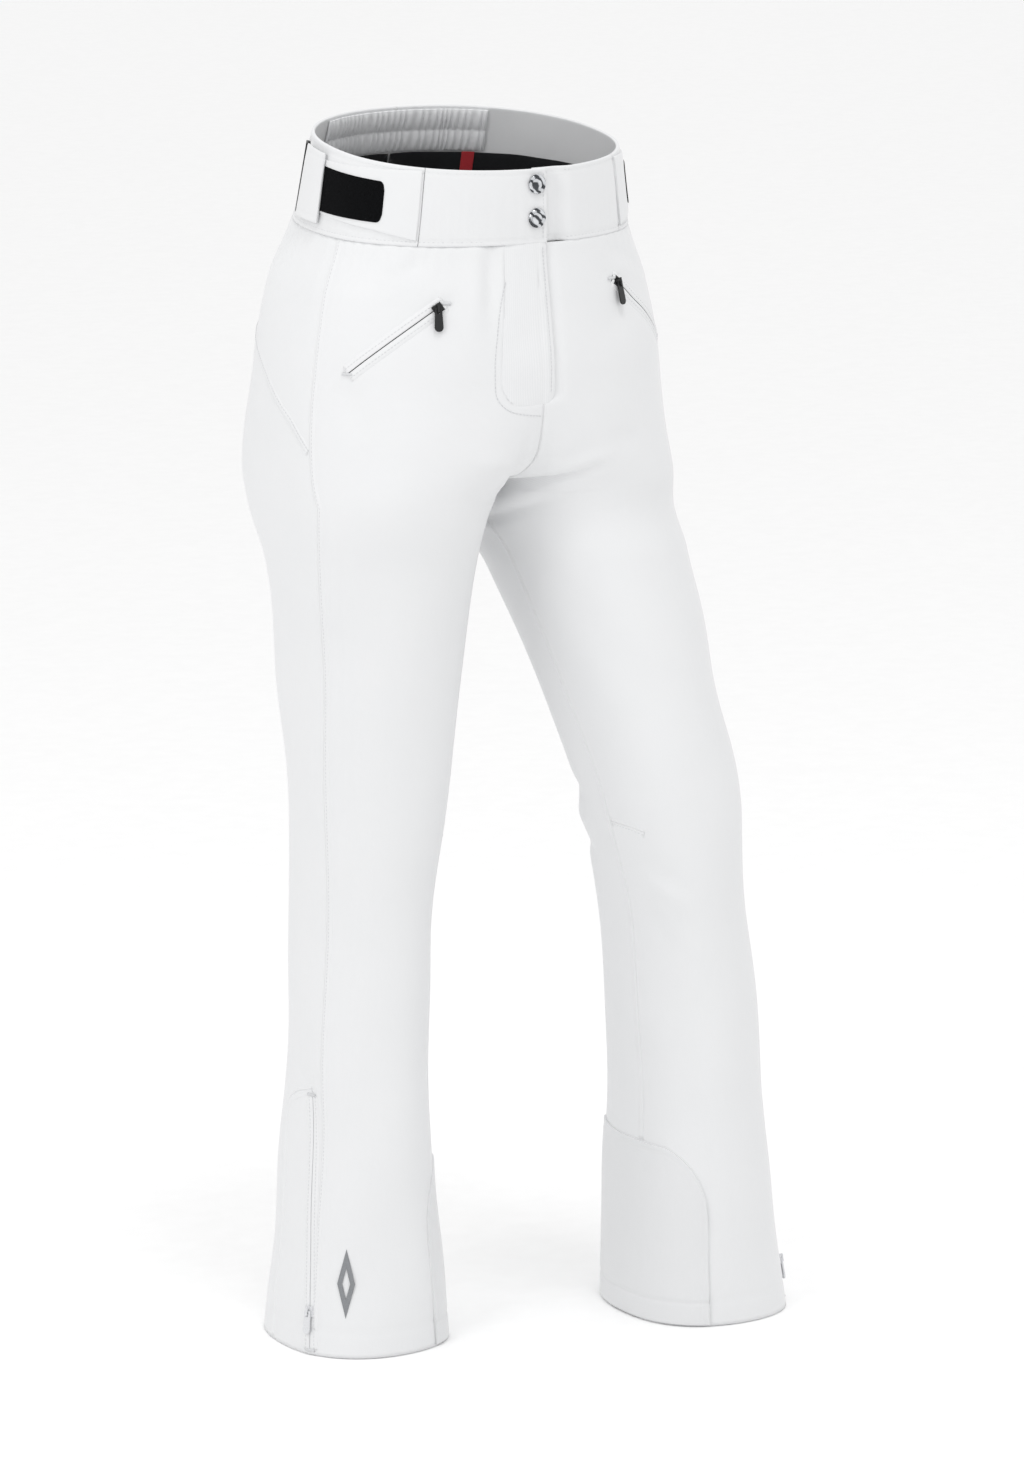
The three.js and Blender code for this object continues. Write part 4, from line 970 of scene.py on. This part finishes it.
@dataclass
class Waistband:
    """The outer band, its inner gathers, lining and size label."""

    seam: float = 0.235
    thick: float = 3.2
    foot: float = 0.9
    proud: float = 0.4

    @staticmethod
    def swell(way: Array, share: Array, face: Array) -> Array:
        """Puckers at the seam, a soft roll between the stitched edges, and grooves at both stitched edges."""
        roll = 0.7 * np.sin(np.pi * share) ** 0.7
        pucker = 0.07 * np.sin(way * 260 + 2 * np.sin(way * 37)) * (0.3 + share)
        wave = 0.5 * np.sin(way * 23 + share * 2.0) * np.sin(np.pi * share)
        groove = 0.5 * (bell(share - 0.05, 0.012) + bell(share - 0.95, 0.012))
        return np.where(face > 0, roll + pucker - groove, 0.3 * pucker) + wave

    def run(self, name: str, start: float, end: float, sink: Optional[Callable] = None) -> bpy.types.Object:
        """A length of band between two ways round the torso."""
        ways = np.linspace(start, end, int(abs(end - start) * 330) + 8)
        dip = sink(ways) if sink else np.zeros(ways.shape)
        return band_piece(name, FORM.round_torso, ways, -BAND_HEIGHT, self.foot, dip - self.proud,
                          dip + self.thick - self.proud, corner=1.3, count=40, swell=self.swell)

    def stitch_rows(self) -> list:
        """Two rows round the band, one under its top edge and one above its foot."""
        return [THREAD.row(side, [(first, level), (0.5, level), (0.985, level)], height=0.1, stand=self.stand)
                for side, first in ((R, 0.1), (L, 0.06)) for level in (-BAND_HEIGHT + 3.7, -3.0)]

    def stand(self, side: Side, share: Array, level: Array, height: Array) -> Array:
        """Points at a height above the band's face."""
        across = (level + BAND_HEIGHT) / (BAND_HEIGHT + self.foot)
        way = share if side is R else np.where(share < 0.5, -share, 2 - share)
        lift = self.proud + self.swell(way, across, np.ones(share.shape))
        return FORM.at(side, share, level, -(lift + height))

    def inner_gathers(self) -> bpy.types.Object:
        """The elastic's cover at the back: two gathered rows of fine upright pleats."""
        def pleats(way: Array, share: Array, face: Array) -> Array:
            """Pleats on the inner face, pinched along the stitched lines between the rows."""
            rows = np.abs(np.sin(np.pi * np.clip(share * 2.0, 0, 2))) ** 0.6
            phase = way * 440 + 2.2 * np.sin(way * 57) + 0.9 * np.sin(way * 131)
            return np.where(face < 0, -(1.1 * np.sin(phase) * (0.35 + 0.65 * rows) + 1.5 * rows), 0.0)
        ways = np.linspace(0.8, 1.2, 320)
        return band_piece("waist_gathers", FORM.round_torso, ways, -BAND_HEIGHT + 2, -37.0, 3.3, 5.0, corner=0.8,
                          count=36, swell=pleats)

    def build(self) -> None:
        """Makes the band, its lining and its label."""
        def tucked(ways: Array) -> Array:
            """How far the left front sinks where the tab lies over it."""
            return 5.6 * (1 - smooth_step(0.042, 0.078, np.abs(ways)))
        free = float(FORM.share_at_x(L, np.array([FLAP_EDGE]), np.array([-36.0]))[0])
        parts = {
            "waistband_front_right": self.run("band_front_right", -free, self.seam),
            "waistband_front_left": self.run("band_front_left", -self.seam, -0.001, tucked),
            "waistband_back_right": self.run("band_back_right", self.seam + 0.001, 1.0),
            "waistband_back_left": self.run("band_back_left", 1.0, 2 - self.seam - 0.001),
        }
        for node, piece in parts.items():
            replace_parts(report(dress(piece, "band")), node)
            if node == "waistband_front_right":
                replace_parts(piece, "waist_tab")
                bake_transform(piece)
            else:
                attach(piece, "root")
        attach(dress(THREAD.piece("stitching_band", self.stitch_rows()), "thread"), "root")
        gathers = dress(self.inner_gathers(), "elastic")
        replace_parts(gathers, "waistband_elastic")
        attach(gathers, "root")

        def curl(way: Array, share: Array, face: Array) -> Array:
            """How the label's free foot curls."""
            return -1.2 * share * share * np.sin(way * 80) ** 2

        label = band_piece("size_tag", FORM.round_torso, np.linspace(1.152, 1.18, 14), -37.0, -17.0, 6.6, 7.1,
                           corner=0.2, swell=curl)
        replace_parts(dress(label, "label"), "size_label")
        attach(label, "root")
        for side in Side:
            self.lining(side)

    @staticmethod
    def lining(side: Side) -> None:
        """The black lining of one half, with soft crumples."""
        node = f"lining_{side.word}"
        low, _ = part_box(node)
        foot = -low[2] / MM - 1

        def crumple(way: Array, share: Array, face: Array) -> Array:
            """Slow waves, shallow enough to stay off the shell."""
            return -0.8 - 0.8 * np.sin(way * 41 + 3 * share) * np.sin(share * 9 + way * 11)
        ways = np.linspace(0.15, 0.998, 96)
        top = np.interp(ways, (0.15, 0.34, 0.5), (2.0, 2.0, -36.0))
        piece = band_piece(f"lining_cloth_{side.word}", partial(FORM.at, side), ways, top, foot, 3.9, 4.7,
                           corner=0.3, count=50, swell=crumple)
        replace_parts(dress(piece, "lining"), node)
        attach(piece, "root")


@dataclass
class Placket:
    """The fly: the flap, snaps, facing and zip."""

    thick: float = 2.2
    corner: float = 16.0

    def outline(self, level: Array, foot: float) -> tuple:
        """Distances from the centre to the hinge side (to the right) and the free side (to the left)."""
        deep = np.clip((level - (foot - self.corner)) / self.corner, 0, 1)
        right = flap_right_x(level, foot)
        left = FLAP_EDGE - 9 * (1 - np.sqrt(np.maximum(1 - deep ** 2, 0)))
        return right, left

    def leaf(self, name: str, top: float, foot: float, out: float) -> bpy.types.Object:
        """A sheet of doubled cloth between the hinge and the free edge."""
        level = np.linspace(top, foot, 76)
        right, left = self.outline(level, foot)
        way_right = FORM.share_at_x(R, right, level)
        way_left = -FORM.share_at_x(L, left, level)
        across = 0.5 - 0.5 * np.cos(np.pi * np.linspace(0, 1, 46))
        ways = way_right[:, None] + (way_left - way_right)[:, None] * across[None, :]
        levels = np.broadcast_to(level[:, None], ways.shape)
        edge = (1 - across)[None, :] * (way_right - way_left)[:, None] * 250
        ends = np.minimum(level - top, foot - level)[:, None]
        near = np.minimum(edge, ends)
        roll = 1.0 * (1 - np.exp(-near / 1.4)) - 0.3 * bell(near - 4.2, 0.7)
        beside_hinge = RELIEF.lift(R, way_right + 0.006, np.maximum(level, 0.6))[:, None]
        fade = 1 - smooth_step(0.0, 0.7, across)[None, :]
        wave = (0.5 * np.sin(levels * 0.06) + 0.3 * np.sin(levels * 0.13)) * np.sin(np.pi * across)[None, :]
        height = out * np.minimum(across * 4, 1)[None, :] + beside_hinge * fade + wave
        front = FORM.round_torso(ways, levels, -(height + roll - 1.0))
        back = FORM.round_torso(ways, levels, -(height - self.thick + 0.2))
        rows, columns = ways.shape
        both = np.concatenate([front.reshape(-1, 3), back.reshape(-1, 3)])
        quads = grid_quads(rows, columns)
        inner = rows * columns
        rim = np.concatenate([np.arange(columns), np.arange(1, rows) * columns + columns - 1,
                              (rows - 1) * columns + np.arange(columns - 2, -1, -1),
                              np.arange(rows - 2, 0, -1) * columns])
        next_ = np.roll(rim, -1)
        walls = np.stack([rim, next_, next_ + inner, rim + inner], -1)
        uv = np.stack([ways * 250, levels], -1).reshape(-1, 2) * MM
        return build_mesh(name, both, np.concatenate([quads, quads[:, ::-1] + inner, walls]),
                          uv=np.concatenate([uv, uv]))

    def free_edge(self, level: Array, inset: float) -> Array:
        """Shares on the left half, a distance in from the free edge."""
        _, left = self.outline(level, FLAP_DROP)
        return FORM.share_at_x(L, left - inset, level)

    def stitch_row(self, levels: tuple, inset: float, height: float) -> Array:
        """A row of stitches down the leaf's free edge."""
        level = np.linspace(*levels, int((levels[1] - levels[0]) / THREAD.pitch))
        points = FORM.at(L, self.free_edge(level, inset), level, np.full(level.shape, -height))
        along = unit(np.diff(points, axis=0))
        out = FORM.outward(L, self.free_edge(level[1:], inset), level[1:])
        return np.stack([(points[1:] + points[:-1]) / 2, along, out], 1)

    def build(self) -> None:
        """Makes every part of the fly."""
        flap = self.leaf("flap", -2.0, FLAP_DROP, 0.35)
        rows = [self.stitch_row((4, FLAP_DROP - 12), 4.2, 0.85), self.stitch_row((-BAND_HEIGHT + 4, -4), 4.2, 1.4)]
        stitches = THREAD.piece("stitching_flap", rows)
        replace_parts(dress(flap, "shell"), "fly_flap")
        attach(flap, "placket")
        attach(dress(stitches, "thread"), "placket")
        jay = [(0.036, 3), (0.060, 40), (0.071, 75), (0.078, 110), (0.076, 132), (0.058, 146), (0.03, 152),
               (0.004, 154)]
        seam = [THREAD.row(R, jay, height=0.3)]
        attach(dress(THREAD.piece("stitching_fly", seam), "thread"), "root")
        for word, level in (("upper", -58.0), ("lower", -24.0)):
            cap = self.snap(f"snap_dome_{word}", level)
            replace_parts(dress(cap, "chrome"), f"snap_cap_{word}")
            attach(cap, "placket")
            for part in ("socket", "stud"):
                keep_node(f"snap_{part}_{word}", "chrome")
        self.facing()
        self.zip()
        for part in ("fly_slider", "fly_puller"):
            keep_node(part, "zip")

    def snap(self, name: str, level: float) -> bpy.types.Object:
        """A snap's cap: a shallow dome, a raised ring and a rolled rim, turned about its axis."""
        profile = [(0.0, 3.3), (1.5, 3.2), (3.0, 2.85), (4.2, 2.3), (4.9, 1.5), (5.4, 1.45), (6.0, 2.0),
                   (7.0, 2.35), (7.9, 1.9), (8.4, 1.2), (8.5, 0.5), (8.1, 0.05), (6.0, 0.0), (0.0, 0.0)]
        centre = FORM.at(R, np.array(0.0), np.array(level), np.array(-1.9))
        axis = FORM.outward(R, np.array(0.0), np.array(level))
        across = unit(np.cross(axis, (0.0, 0.0, 1.0)))
        up = np.cross(across, axis)
        turn = np.linspace(0, 2 * np.pi, 64, endpoint=False)
        reach, height = np.array(profile).T[..., None]
        points = (centre + (reach * np.cos(turn))[..., None] * across + (reach * np.sin(turn))[..., None] * up
                  + np.broadcast_to(height, (len(profile), 64))[..., None] * axis)
        return build_mesh(name, points.reshape(-1, 3), grid_quads(len(profile), 64, wrap_columns=True), weld=0.001)

    @staticmethod
    def zip() -> None:
        """The fly's zip: a flat tape with a run of coil teeth down its middle."""
        half = float(FORM.share_at_x(R, np.array([13.5]), np.array([60.0]))[0])
        tape = band_piece("fly_tape", FORM.round_torso, np.linspace(-half, half, 24), 8.0, 118.0, 6.5, 7.3,
                          corner=0.3, count=60)
        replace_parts(dress(tape, "tape"), "fly_zip")
        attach(tape, "root")
        teeth = Thread(length=3.2, radius=0.42)
        level = np.arange(10.0, 117.0, 1.4)
        middle = FORM.round_torso(np.zeros(level.shape), level, np.full(level.shape, 6.1))
        across = np.broadcast_to((1.0, 0.0, 0.0), middle.shape)
        out = FORM.outward(R, np.zeros(level.shape), level)
        coil = teeth.piece("fly_coil", [np.stack([middle, across, out], 1)])
        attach(dress(coil, "zip"), "root")

    @staticmethod
    def facing() -> None:
        """The cloth behind the fly's zip."""
        low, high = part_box("fly_facing")

        def crumple(way: Array, share: Array, face: Array) -> Array:
            """Small waves."""
            return 0.25 * np.sin(share * 30 + way * 20)

        piece = band_piece("facing", FORM.round_torso, np.linspace(-0.1, 0.1, 40), -high[2] / MM, -low[2] / MM - 1,
                           9.1, 9.9, corner=0.3, count=40, swell=crumple)
        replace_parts(dress(piece, "lining"), "fly_facing")
        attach(piece, "root")


@dataclass
class Zip:
    """A coil zip laid in the shell: two cloth lips, a dark tape and a run of coil teeth."""

    name: str
    node: str
    side: Side
    line: tuple
    body: str = "root"
    tape: str = "tape"
    teeth: str = "zip"

    def build(self) -> None:
        """Makes the lips, the tape and the teeth, and the bars that close its ends."""
        word = self.side.word
        tape = laid_strip(f"{self.name}_tape_{word}", self.side, self.line,
                          ((-3.6, -0.4), (-3.2, 0.28), (-0.3, 0.34), (0.0, 0.1), (0.3, 0.34), (3.2, 0.28), (3.6, -0.4)))
        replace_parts(dress(tape, self.tape), self.node)
        teeth = Thread(pitch=1.5, length=3.0, radius=0.42)
        row = teeth.row(self.side, self.line, height=0.42)
        row[:, 1] = unit(np.cross(row[:, 1], row[:, 2]))
        coil = dress(teeth.piece(f"{self.name}_coil_{word}", [row]), self.teeth)
        pieces = [tape, coil]
        for sign in (-1, 1):
            lip = laid_strip(f"{self.name}_lip_{'fb'[sign > 0]}_{word}", self.side, self.line,
                             [(sign * off, height) for off, height in
                              ((0.35, 0.62), (0.5, 0.95), (1.4, 1.2), (3.2, 1.15), (5.0, 0.9), (7.4, 0.3),
                               (8.6, -0.4), (4, -0.8), (3.2, 0.5), (1.2, 0.58))])
            pieces.append(dress(lip, "shell"))
        stitches = [THREAD.row(self.side, self.line, offset=off, height=1.0) for off in (-4.6, 4.6)]
        pieces.append(dress(THREAD.piece(f"{self.name}_stitching_{word}", stitches), "thread"))
        for tag, (share, level) in zip(("top", "foot"), self.line):
            bar = laid_strip(f"{self.name}_bar_{tag}_{word}", self.side,
                             [(share - 0.012, level), (share + 0.012, level)],
                             ((-1.3, -0.2), (-1.2, 1.3), (0, 1.7), (1.2, 1.3), (1.3, -0.2)), pitch=1.0)
            pieces.append(dress(bar, "thread"))
        for piece in pieces:
            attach(piece, self.body)


@dataclass
class Adjuster:
    """A waist adjuster: base strap, loop patch, pull tab and its ring."""

    side: Side

    def build(self) -> None:
        """Makes the strap, patch and tab and finishes the ring."""
        word = self.side.word
        place = partial(FORM.at, self.side)
        ways = np.linspace(0.24, 0.6, 90)
        top = np.interp(ways, (0.238, 0.34, 0.6), (-70.5, -67.0, -58.0))
        foot = np.interp(ways, (0.238, 0.34, 0.6), (-4.0, -11.0, -19.0))

        def soft(way: Array, share: Array, face: Array) -> Array:
            """The strap's rounded face."""
            return np.where(face > 0, 0.5 * np.sin(np.pi * share) ** 0.5, 0.0)

        def bow(way: Array, share: Array, face: Array) -> Array:
            """The tab's rounded face, with a groove at each stitched edge."""
            return (0.7 * np.sin(np.pi * share) ** 0.4 - 0.4 * bell(share - 0.07, 0.012)
                    - 0.4 * bell(share - 0.93, 0.012)) * (face > 0)

        strap = band_piece(f"strap_{word}", place, ways, top, foot, -2.2, -0.2, corner=0.7, count=30, swell=soft)
        patch_ways = np.linspace(0.325, 0.592, 80)
        gone = np.clip((0.339 - patch_ways) / 0.014, 0, 1)
        half = 19.0 - 8.0 * (1 - np.sqrt(np.maximum(1 - gone ** 2, 0.0)))
        patch = band_piece(f"patch_{word}", place, patch_ways, -37 - half, -37 + half, -3.3, -2.3, corner=0.5,
                           count=30)
        tab_ways = np.linspace(0.508, 0.5985, 44)
        tab = band_piece(f"pull_{word}", place, tab_ways, -66.5, -7.0, -4.9, -3.6, corner=0.65, count=40, swell=bow)
        for piece, node, finish, slot, body in (
                (strap, "adjuster_strap", "band", "shell", "root"), (patch, "adjuster_patch", "loop", "loop", "root"),
                (tab, "adjuster_tab", "band", "shell", f"adjuster_tab_{word}")):
            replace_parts(dress(piece, finish), f"{node}_{word}")
            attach(piece, body)
        keep_node(f"adjuster_ring_{word}", "zip")


@dataclass
class Hem:
    """The gear at a hem: scuff guard, gaiter and its elastic."""

    side: Side

    def build(self) -> None:
        """Makes the three and lets them ride on the shin."""
        word = self.side.word
        ways = np.linspace(-0.16, 0.176, 90)
        turned = np.clip((ways - 0.07) / 0.106, 0, 1)
        top = 826 + 10 * turned + 50 * (1 - np.sqrt(np.maximum(1 - turned ** 2, 0)))

        def edge(way: Array, share: Array, face: Array) -> Array:
            """The guard's face: slow waves and a groove at its stitched edges."""
            return (0.5 - 0.4 * bell(share - 0.03, 0.006) - 0.4 * bell(way - 0.165, 0.003)
                    + 0.3 * np.sin(way * 40 + share * 9)) * (face > 0)

        def place(way: Array, level: Array, depth: Array) -> Array:
            """A point at a depth below the shell's face."""
            return on_shell(self.side, way, level, -depth)

        guard = band_piece(f"guard_{word}", place, ways, top, 988.5, -1.3, 0.6, corner=0.6, count=90, swell=edge)
        pieces = [(guard, "scuff_guard", "guard", "guard"), (self.gaiter(), "gaiter", "gaiter", "lining"),
                  (self.elastic(), "gaiter_elastic", "grip", "elastic")]
        for piece, node, finish, slot in pieces:
            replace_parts(dress(piece, finish), f"{node}_{word}")
            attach(piece, f"shin_{word}")

    def tube(self, name: str, levels: tuple, skin: Callable, thick: float, pleats: float) -> bpy.types.Object:
        """A closed gathered tube inside the leg."""
        level = np.linspace(*levels, 44)[:, None]
        share = np.linspace(0, 1, 260, endpoint=False)[None, :]
        gather = smooth_step(levels[0], levels[1] - 14, level)
        depth = skin(level) + pleats * gather * np.sin(share * 2 * np.pi * 44 + 2 * np.sin(share * 12))
        shares = np.broadcast_to(share, depth.shape)
        outer = FORM.at(self.side, shares, np.broadcast_to(level, depth.shape), depth)
        inner = FORM.at(self.side, shares, np.broadcast_to(level, depth.shape), depth + thick)
        rows, columns = depth.shape
        points = np.concatenate([outer, inner[::-1]]).reshape(-1, 3)
        uv = np.stack([shares * 460, np.broadcast_to(level, depth.shape)], -1)
        uv = np.concatenate([uv, uv[::-1]]).reshape(-1, 2) * MM
        return build_mesh(name, points, grid_quads(2 * rows, columns, wrap_rows=True, wrap_columns=True), uv=uv)

    @staticmethod
    def depth(level: Array) -> Array:
        """How far inside the leg the gaiter lies: it narrows to its elastic."""
        return 4.6 + 20.2 * smooth_step(838, 976, level)

    def gaiter(self) -> bpy.types.Object:
        """The gathered cloth tube."""
        return self.tube(f"gaiter_cloth_{self.side.word}", (833, 975), self.depth, 0.9, 1.1)

    def elastic(self) -> bpy.types.Object:
        """The gripping band at the gaiter's foot."""
        def inside(level: Array) -> Array:
            """Just inside the gaiter's cloth."""
            return self.depth(level) + 2.6

        return self.tube(f"gaiter_grip_{self.side.word}", (957, 975), inside, 1.3, 0.5)


@dataclass
class Pocket:
    """A hip pocket: its bag inside the shell and its zip."""

    side: Side

    def build(self) -> None:
        """Makes the zip, the bag, and finishes slider and puller."""
        word = self.side.word
        Zip("pocket", f"pocket_zip_{word}", self.side, POCKET_LINE[self.side]).build()
        low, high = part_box(f"pocket_bag_{word}")

        def slack(way: Array, share: Array, face: Array) -> Array:
            """Slow waves that stay off the shell."""
            return -0.6 - 0.5 * np.sin(way * 60 + share * 8)

        bag = band_piece(f"bag_{word}", partial(FORM.at, self.side), np.linspace(0.185, 0.395, 60),
                         -high[2] / MM + 3, -low[2] / MM - 3, 5.0, 7.0, corner=0.9, count=50, swell=slack)
        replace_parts(dress(bag, "pocketing"), f"pocket_bag_{word}")
        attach(bag, "root")
        for part in ("slider", "puller"):
            keep_node(f"pocket_{part}_{word}", "zip")


@dataclass
class SkiPants:
    """The whole garment."""

    def build(self) -> None:
        """Builds every sub-assembly."""
        for side in Side:
            LegShell(side).build()
            Pocket(side).build()
            Adjuster(side).build()
            Hem(side).build()
            Zip("hem", f"hem_zip_{side.word}", side, HEM_ZIP_LINE, f"shin_{side.word}", "tape_white", "trim").build()
            for part in ("slider", "puller"):
                keep_node(f"hem_{part}_{side.word}", "trim")
        Waistband().build()
        Placket().build()
        keep_node("hem_mark", "print")


# ---------------------------------------------------------------- the studio


@dataclass
class Studio:
    """A pale floor that runs to the horizon, three soft lights and the camera."""

    target: tuple = (-0.010, 0.0, -0.462)
    azimuth: float = -33.0
    elevation: float = 11.2
    distance: float = 6.1
    lens: float = 171.1
    shift: tuple = (0.047, 0.0135)

    def axes(self) -> tuple:
        """The camera's back, right and up directions."""
        a, e = math.radians(self.azimuth), math.radians(self.elevation)
        back = np.array([math.sin(a) * math.cos(e), -math.cos(a) * math.cos(e), math.sin(e)])
        right = np.array([math.cos(a), math.sin(a), 0.0])
        return back, right, np.cross(back, right)

    def camera(self) -> None:
        """Sets the camera at the viewing angle, moved sideways to frame the garment."""
        back, right, up = self.axes()
        data = bpy.data.cameras.new("camera")
        data.lens, data.sensor_width, data.sensor_fit = self.lens, 36.0, "AUTO"
        data.clip_end = 100.0
        camera = bpy.data.objects.new("camera", data)
        bpy.context.scene.collection.objects.link(camera)
        place = np.array(self.target) + back * self.distance + right * self.shift[0] + up * self.shift[1]
        camera.matrix_world = Matrix([[right[i], up[i], back[i], place[i]] for i in range(3)] + [[0, 0, 0, 1]])
        bpy.context.scene.camera = camera

    def light(self, name: str, place: tuple, size: float, power: float) -> None:
        """A square soft light that faces the garment."""
        data = bpy.data.lights.new(name, "AREA")
        data.energy, data.size = power, size
        lamp = bpy.data.objects.new(name, data)
        lamp.location = place
        lamp.rotation_euler = (Vector((0, 0, -0.5)) - Vector(place)).to_track_quat("-Z", "Y").to_euler()
        bpy.context.scene.collection.objects.link(lamp)

    def build(self) -> None:
        """Makes floor, world, lights and camera."""
        mesh = bpy.data.meshes.new("floor")
        floor_z = -(HEM_DROP + 0.6) * MM
        mesh.from_pydata([(-30, -30, floor_z), (30, -30, floor_z), (30, 30, floor_z), (-30, 30, floor_z)], [],
                         [(0, 1, 2, 3)])
        floor = bpy.data.objects.new("floor", mesh)
        bpy.context.scene.collection.objects.link(floor)
        material, tree, shader = new_material("studio paper, white")
        coord = add_node(tree, "ShaderNodeTexCoord")
        fibre = add_node(tree, "ShaderNodeTexNoise", {"Vector": coord.outputs["Object"]}, Scale=40.0, Detail=2.0)
        tree.links.new(shader.inputs["Base Color"],
                       ramp(tree, fibre.outputs["Fac"], ((0.3, "#fcfcfc"), (0.7, "#fefefe"))))
        shader.inputs["Roughness"].default_value = 0.9
        mesh.materials.append(material)
        world = bpy.data.worlds.new("studio")
        world.use_nodes = True
        world.node_tree.nodes["Background"].inputs["Color"].default_value = (1, 1, 1, 1)
        world.node_tree.nodes["Background"].inputs["Strength"].default_value = 0.94
        bpy.context.scene.world = world
        self.light("key", (-2.6, -1.0, 1.2), 1.0, 14.0)
        self.light("fill", (3.0, -2.6, 0.8), 2.2, 2.0)
        self.light("top", (-0.3, -1.3, 3.0), 0.8, 22.0)
        bpy.context.scene.view_settings.view_transform = "Standard"
        self.camera()


def main() -> None:
    """Builds the studio and the garment."""
    logging.basicConfig(level=logging.INFO, format="%(name)s: %(message)s")
    Studio().build()
    SkiPants().build()


if __name__ == "__main__":
    main()
